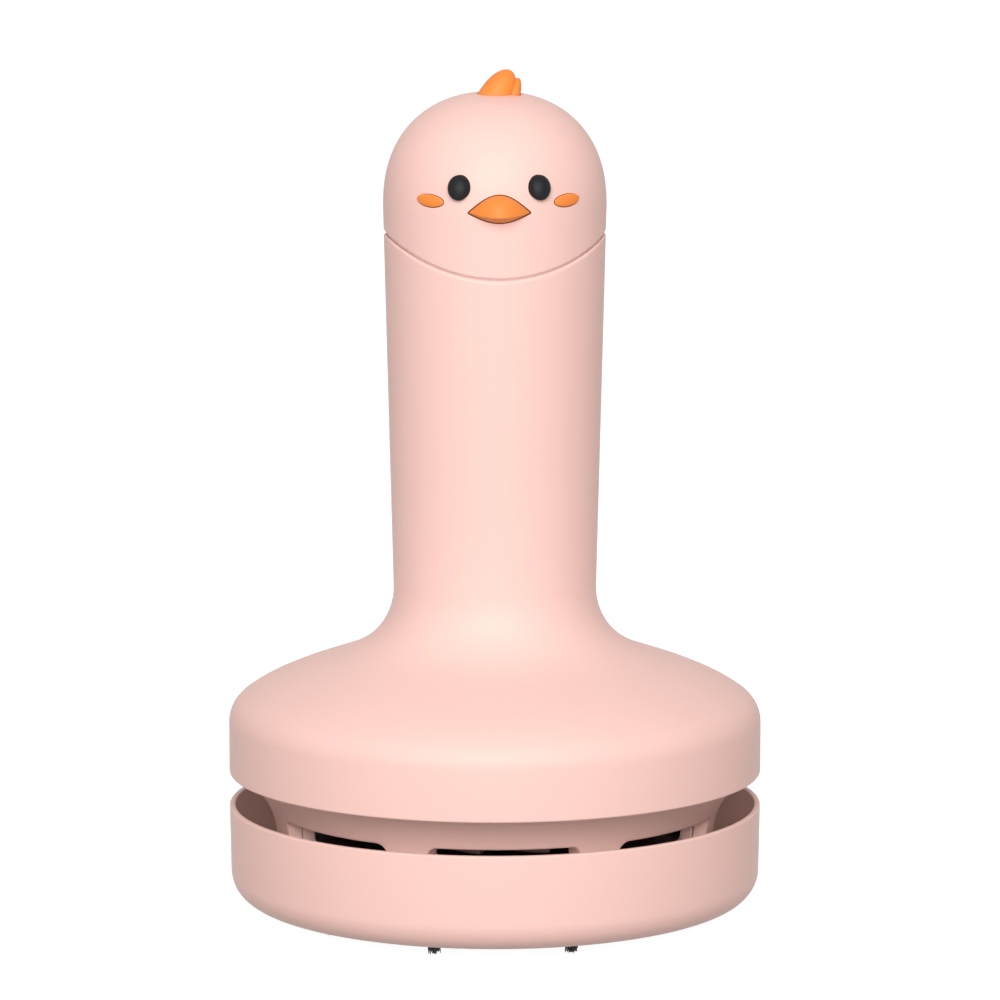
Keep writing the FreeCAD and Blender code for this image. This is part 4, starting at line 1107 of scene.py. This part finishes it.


# --- Eyes and cheeks ---
# Black beads and small orange ovals, each set into a seat whose walls carry painted shade, a dark brown
# that shows as a thin line round it. The eyes look a little more forward and upward than the cap's
# surface does.
seat_gap = 0.15
eye_width = 3.63
eye_tall = 4.25
eye_proud = 0.9
eye_angle = 20.8
eye_rise = 14.75
eye_upturn = 16.0
eye_inturn = 10.5
cheek_width = 5.3
cheek_tall = 2.05
cheek_proud = 0.36
cheek_angle = 37.25
cheek_rise = 12.45
cheek_tilt = 4.8
orange = (0.93, 0.262, 0.045, 1)
eye_black = (0.012, 0.013, 0.014, 1)
gap_shade_brown = (0.24, 0.085, 0.04, 1)


def bead(width, tall, proud, side, angle, rise, upturn, inturn, tilt, grow):
    # An oval bead, half of it inside the cap's wall and bent to its curve; side is -1 for the left and
    # 1 for the right.
    height = head_low.z + rise
    bm = bmesh.new()
    oval = Matrix.Rotation(math.radians(-side * tilt), 4, "Y")
    oval @= Matrix.Diagonal((width / 2 + grow, proud + grow, tall / 2 + grow, 1))
    bmesh.ops.create_uvsphere(bm, u_segments=64, v_segments=48, radius=1.0, matrix=oval)
    for vert in bm.verts:
        vert.co.y += vert.co.x ** 2 / (2 * neck_radius(height))
    place = Matrix.Rotation(math.radians(side * angle), 4, "Z")
    place @= Matrix.Translation((0, -neck_radius(height), height))
    place @= Matrix.Rotation(math.radians(-side * inturn), 4, "Z")
    place @= Matrix.Rotation(math.radians(-upturn), 4, "X")
    bmesh.ops.transform(bm, matrix=place, verts=bm.verts[:])
    return bm


orange_plastic = moulded("orange_abs", orange, 0.5, specular=0.3)
# Dark brown painted shade for the walls of the seats, where the gap round each piece falls in shadow.
seat_painted_shade = moulded("seat_painted_shade", gap_shade_brown, 0.55, grain=900.0, specular=0.2)
eye_plastic = moulded("eye_black", eye_black, 0.42, specular=0.14)
for side, word in ((-1, "left"), (1, "right")):
    eye_form = (eye_width, eye_tall, eye_proud, side, eye_angle, eye_rise, eye_upturn, eye_inturn, 0)
    cheek_form = (cheek_width, cheek_tall, cheek_proud, side, cheek_angle, cheek_rise, 0, 0, cheek_tilt)
    for form, part, finish, slot in ((eye_form, "eye_", eye_plastic, "eye_plastic"),
                                     (cheek_form, "cheek_", orange_plastic, "orange_plastic")):
        carve(cap, bead(*form, seat_gap), finish=seat_painted_shade)
        button = made(bead(*form, 0), part + "bead_" + word, finish)
        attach(button, "head")
        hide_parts(part + word)


# --- Beak ---
# One orange moulding: a full upper side over a sharp lip, and a flat underside that rises to two
# pointed corners.
beak_half_width = 5.05
beak_rise = 10.65
beak_crown = 2.9
beak_drop = 1.62
beak_lip_drop = 0.57
beak_proud = 3.0
beak_sunk = 0.8
beak_root = 0.8


def beak_form(grow):
    # A flat sheet, wrapped round the beak: across it from corner to corner, and up it from the root
    # of the underside over the lip (the sheet's middle) to the root of the top.
    bm = bmesh.new()
    bmesh.ops.create_grid(bm, x_segments=64, y_segments=20, size=1.0)
    height = head_low.z + beak_rise
    ends = [edge for edge in bm.edges if all(abs(vert.co.y) > 1 - hair for vert in edge.verts)]
    bmesh.ops.bridge_loops(bm, edges=ends)
    for vert in bm.verts:
        across, up = vert.co.x, vert.co.y
        arch = math.cos(math.radians(90 * across))
        x = across * (beak_half_width + grow)
        surface = math.sqrt(neck_radius(height) ** 2 - x * x)
        lip = height - beak_lip_drop * arch
        share = min(abs(up) / beak_root, 1)
        turn = math.radians(90 * share)
        inward = max(abs(up) - beak_root, 0) / (1 - beak_root) * beak_sunk
        if up > 0:
            ahead = math.cos(turn)
            z = lip + (height + beak_crown * arch + grow - lip) * math.sin(turn)
        else:
            ahead = 1 - share
            z = lip - (lip - height + beak_drop * arch + grow) * share
        vert.co = Vector((x, -surface - (beak_proud + grow) * arch * ahead + inward, z))
    bmesh.ops.remove_doubles(bm, verts=bm.verts[:], dist=0.001)
    bmesh.ops.holes_fill(bm, edges=bm.edges[:], sides=0)
    return bm


# The beak's seat walls get the same painted shade.
carve(cap, beak_form(seat_gap), finish=seat_painted_shade)
beak = made(beak_form(0), "beak_moulding", orange_plastic)
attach(beak, "head")
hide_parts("beak")


# --- Crest ---
# The tuft of feathers on the crown: a large and a small orange lobe that lean to the side, grown
# together at a crease, seated in the top of the cap.
crest_foot = cap_top - 1.0
crest_forward = 2.2
crest_sunk = 0.4
crest_core = 5.0
lobes = [(3.05, 2.75, 4.79, -0.25, 0.43), (1.15, 1.75, 3.4, 2.9, 0.25)]


def lobe(radius, depth, rise, aside, lean, grow):
    # Half an egg that leans to the side; its centre is hidden in the cap.
    bm = bmesh.new()
    place = Matrix(((radius + grow, 0, lean * (rise + grow), aside),
                    (0, depth + grow, 0, -crest_forward),
                    (0, 0, rise + grow, crest_foot),
                    (0, 0, 0, 1)))
    bmesh.ops.create_uvsphere(bm, u_segments=72, v_segments=56, radius=1.0, matrix=place)
    return bm


def crest_form(grow, sunk):
    # Both lobes, cut off at the dome's inner form, sunk below its surface.
    crest = made(lobe(*lobes[0], grow), "crest_lobes", orange_plastic)
    carve(crest, lobe(*lobes[1], grow), "UNION")
    inside = bmesh.new()
    wall = trace(inside, (0, dome_base - crest_core), 0, [
        ("reach", neck_radius(dome_base) - sunk),
        ("turn", 90),
        ("rise", dome_base)])
    dome(inside, wall, dome_rise - sunk)
    turn_on_axis(inside, steps=small_round_steps)
    carve(crest, inside)
    return crest


carve(cap, crest_form(seat_gap, crest_sunk + seat_gap))
crest = crest_form(0, crest_sunk)
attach(crest, "head")
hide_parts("crest")
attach(cap, "head")
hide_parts("head_shell")
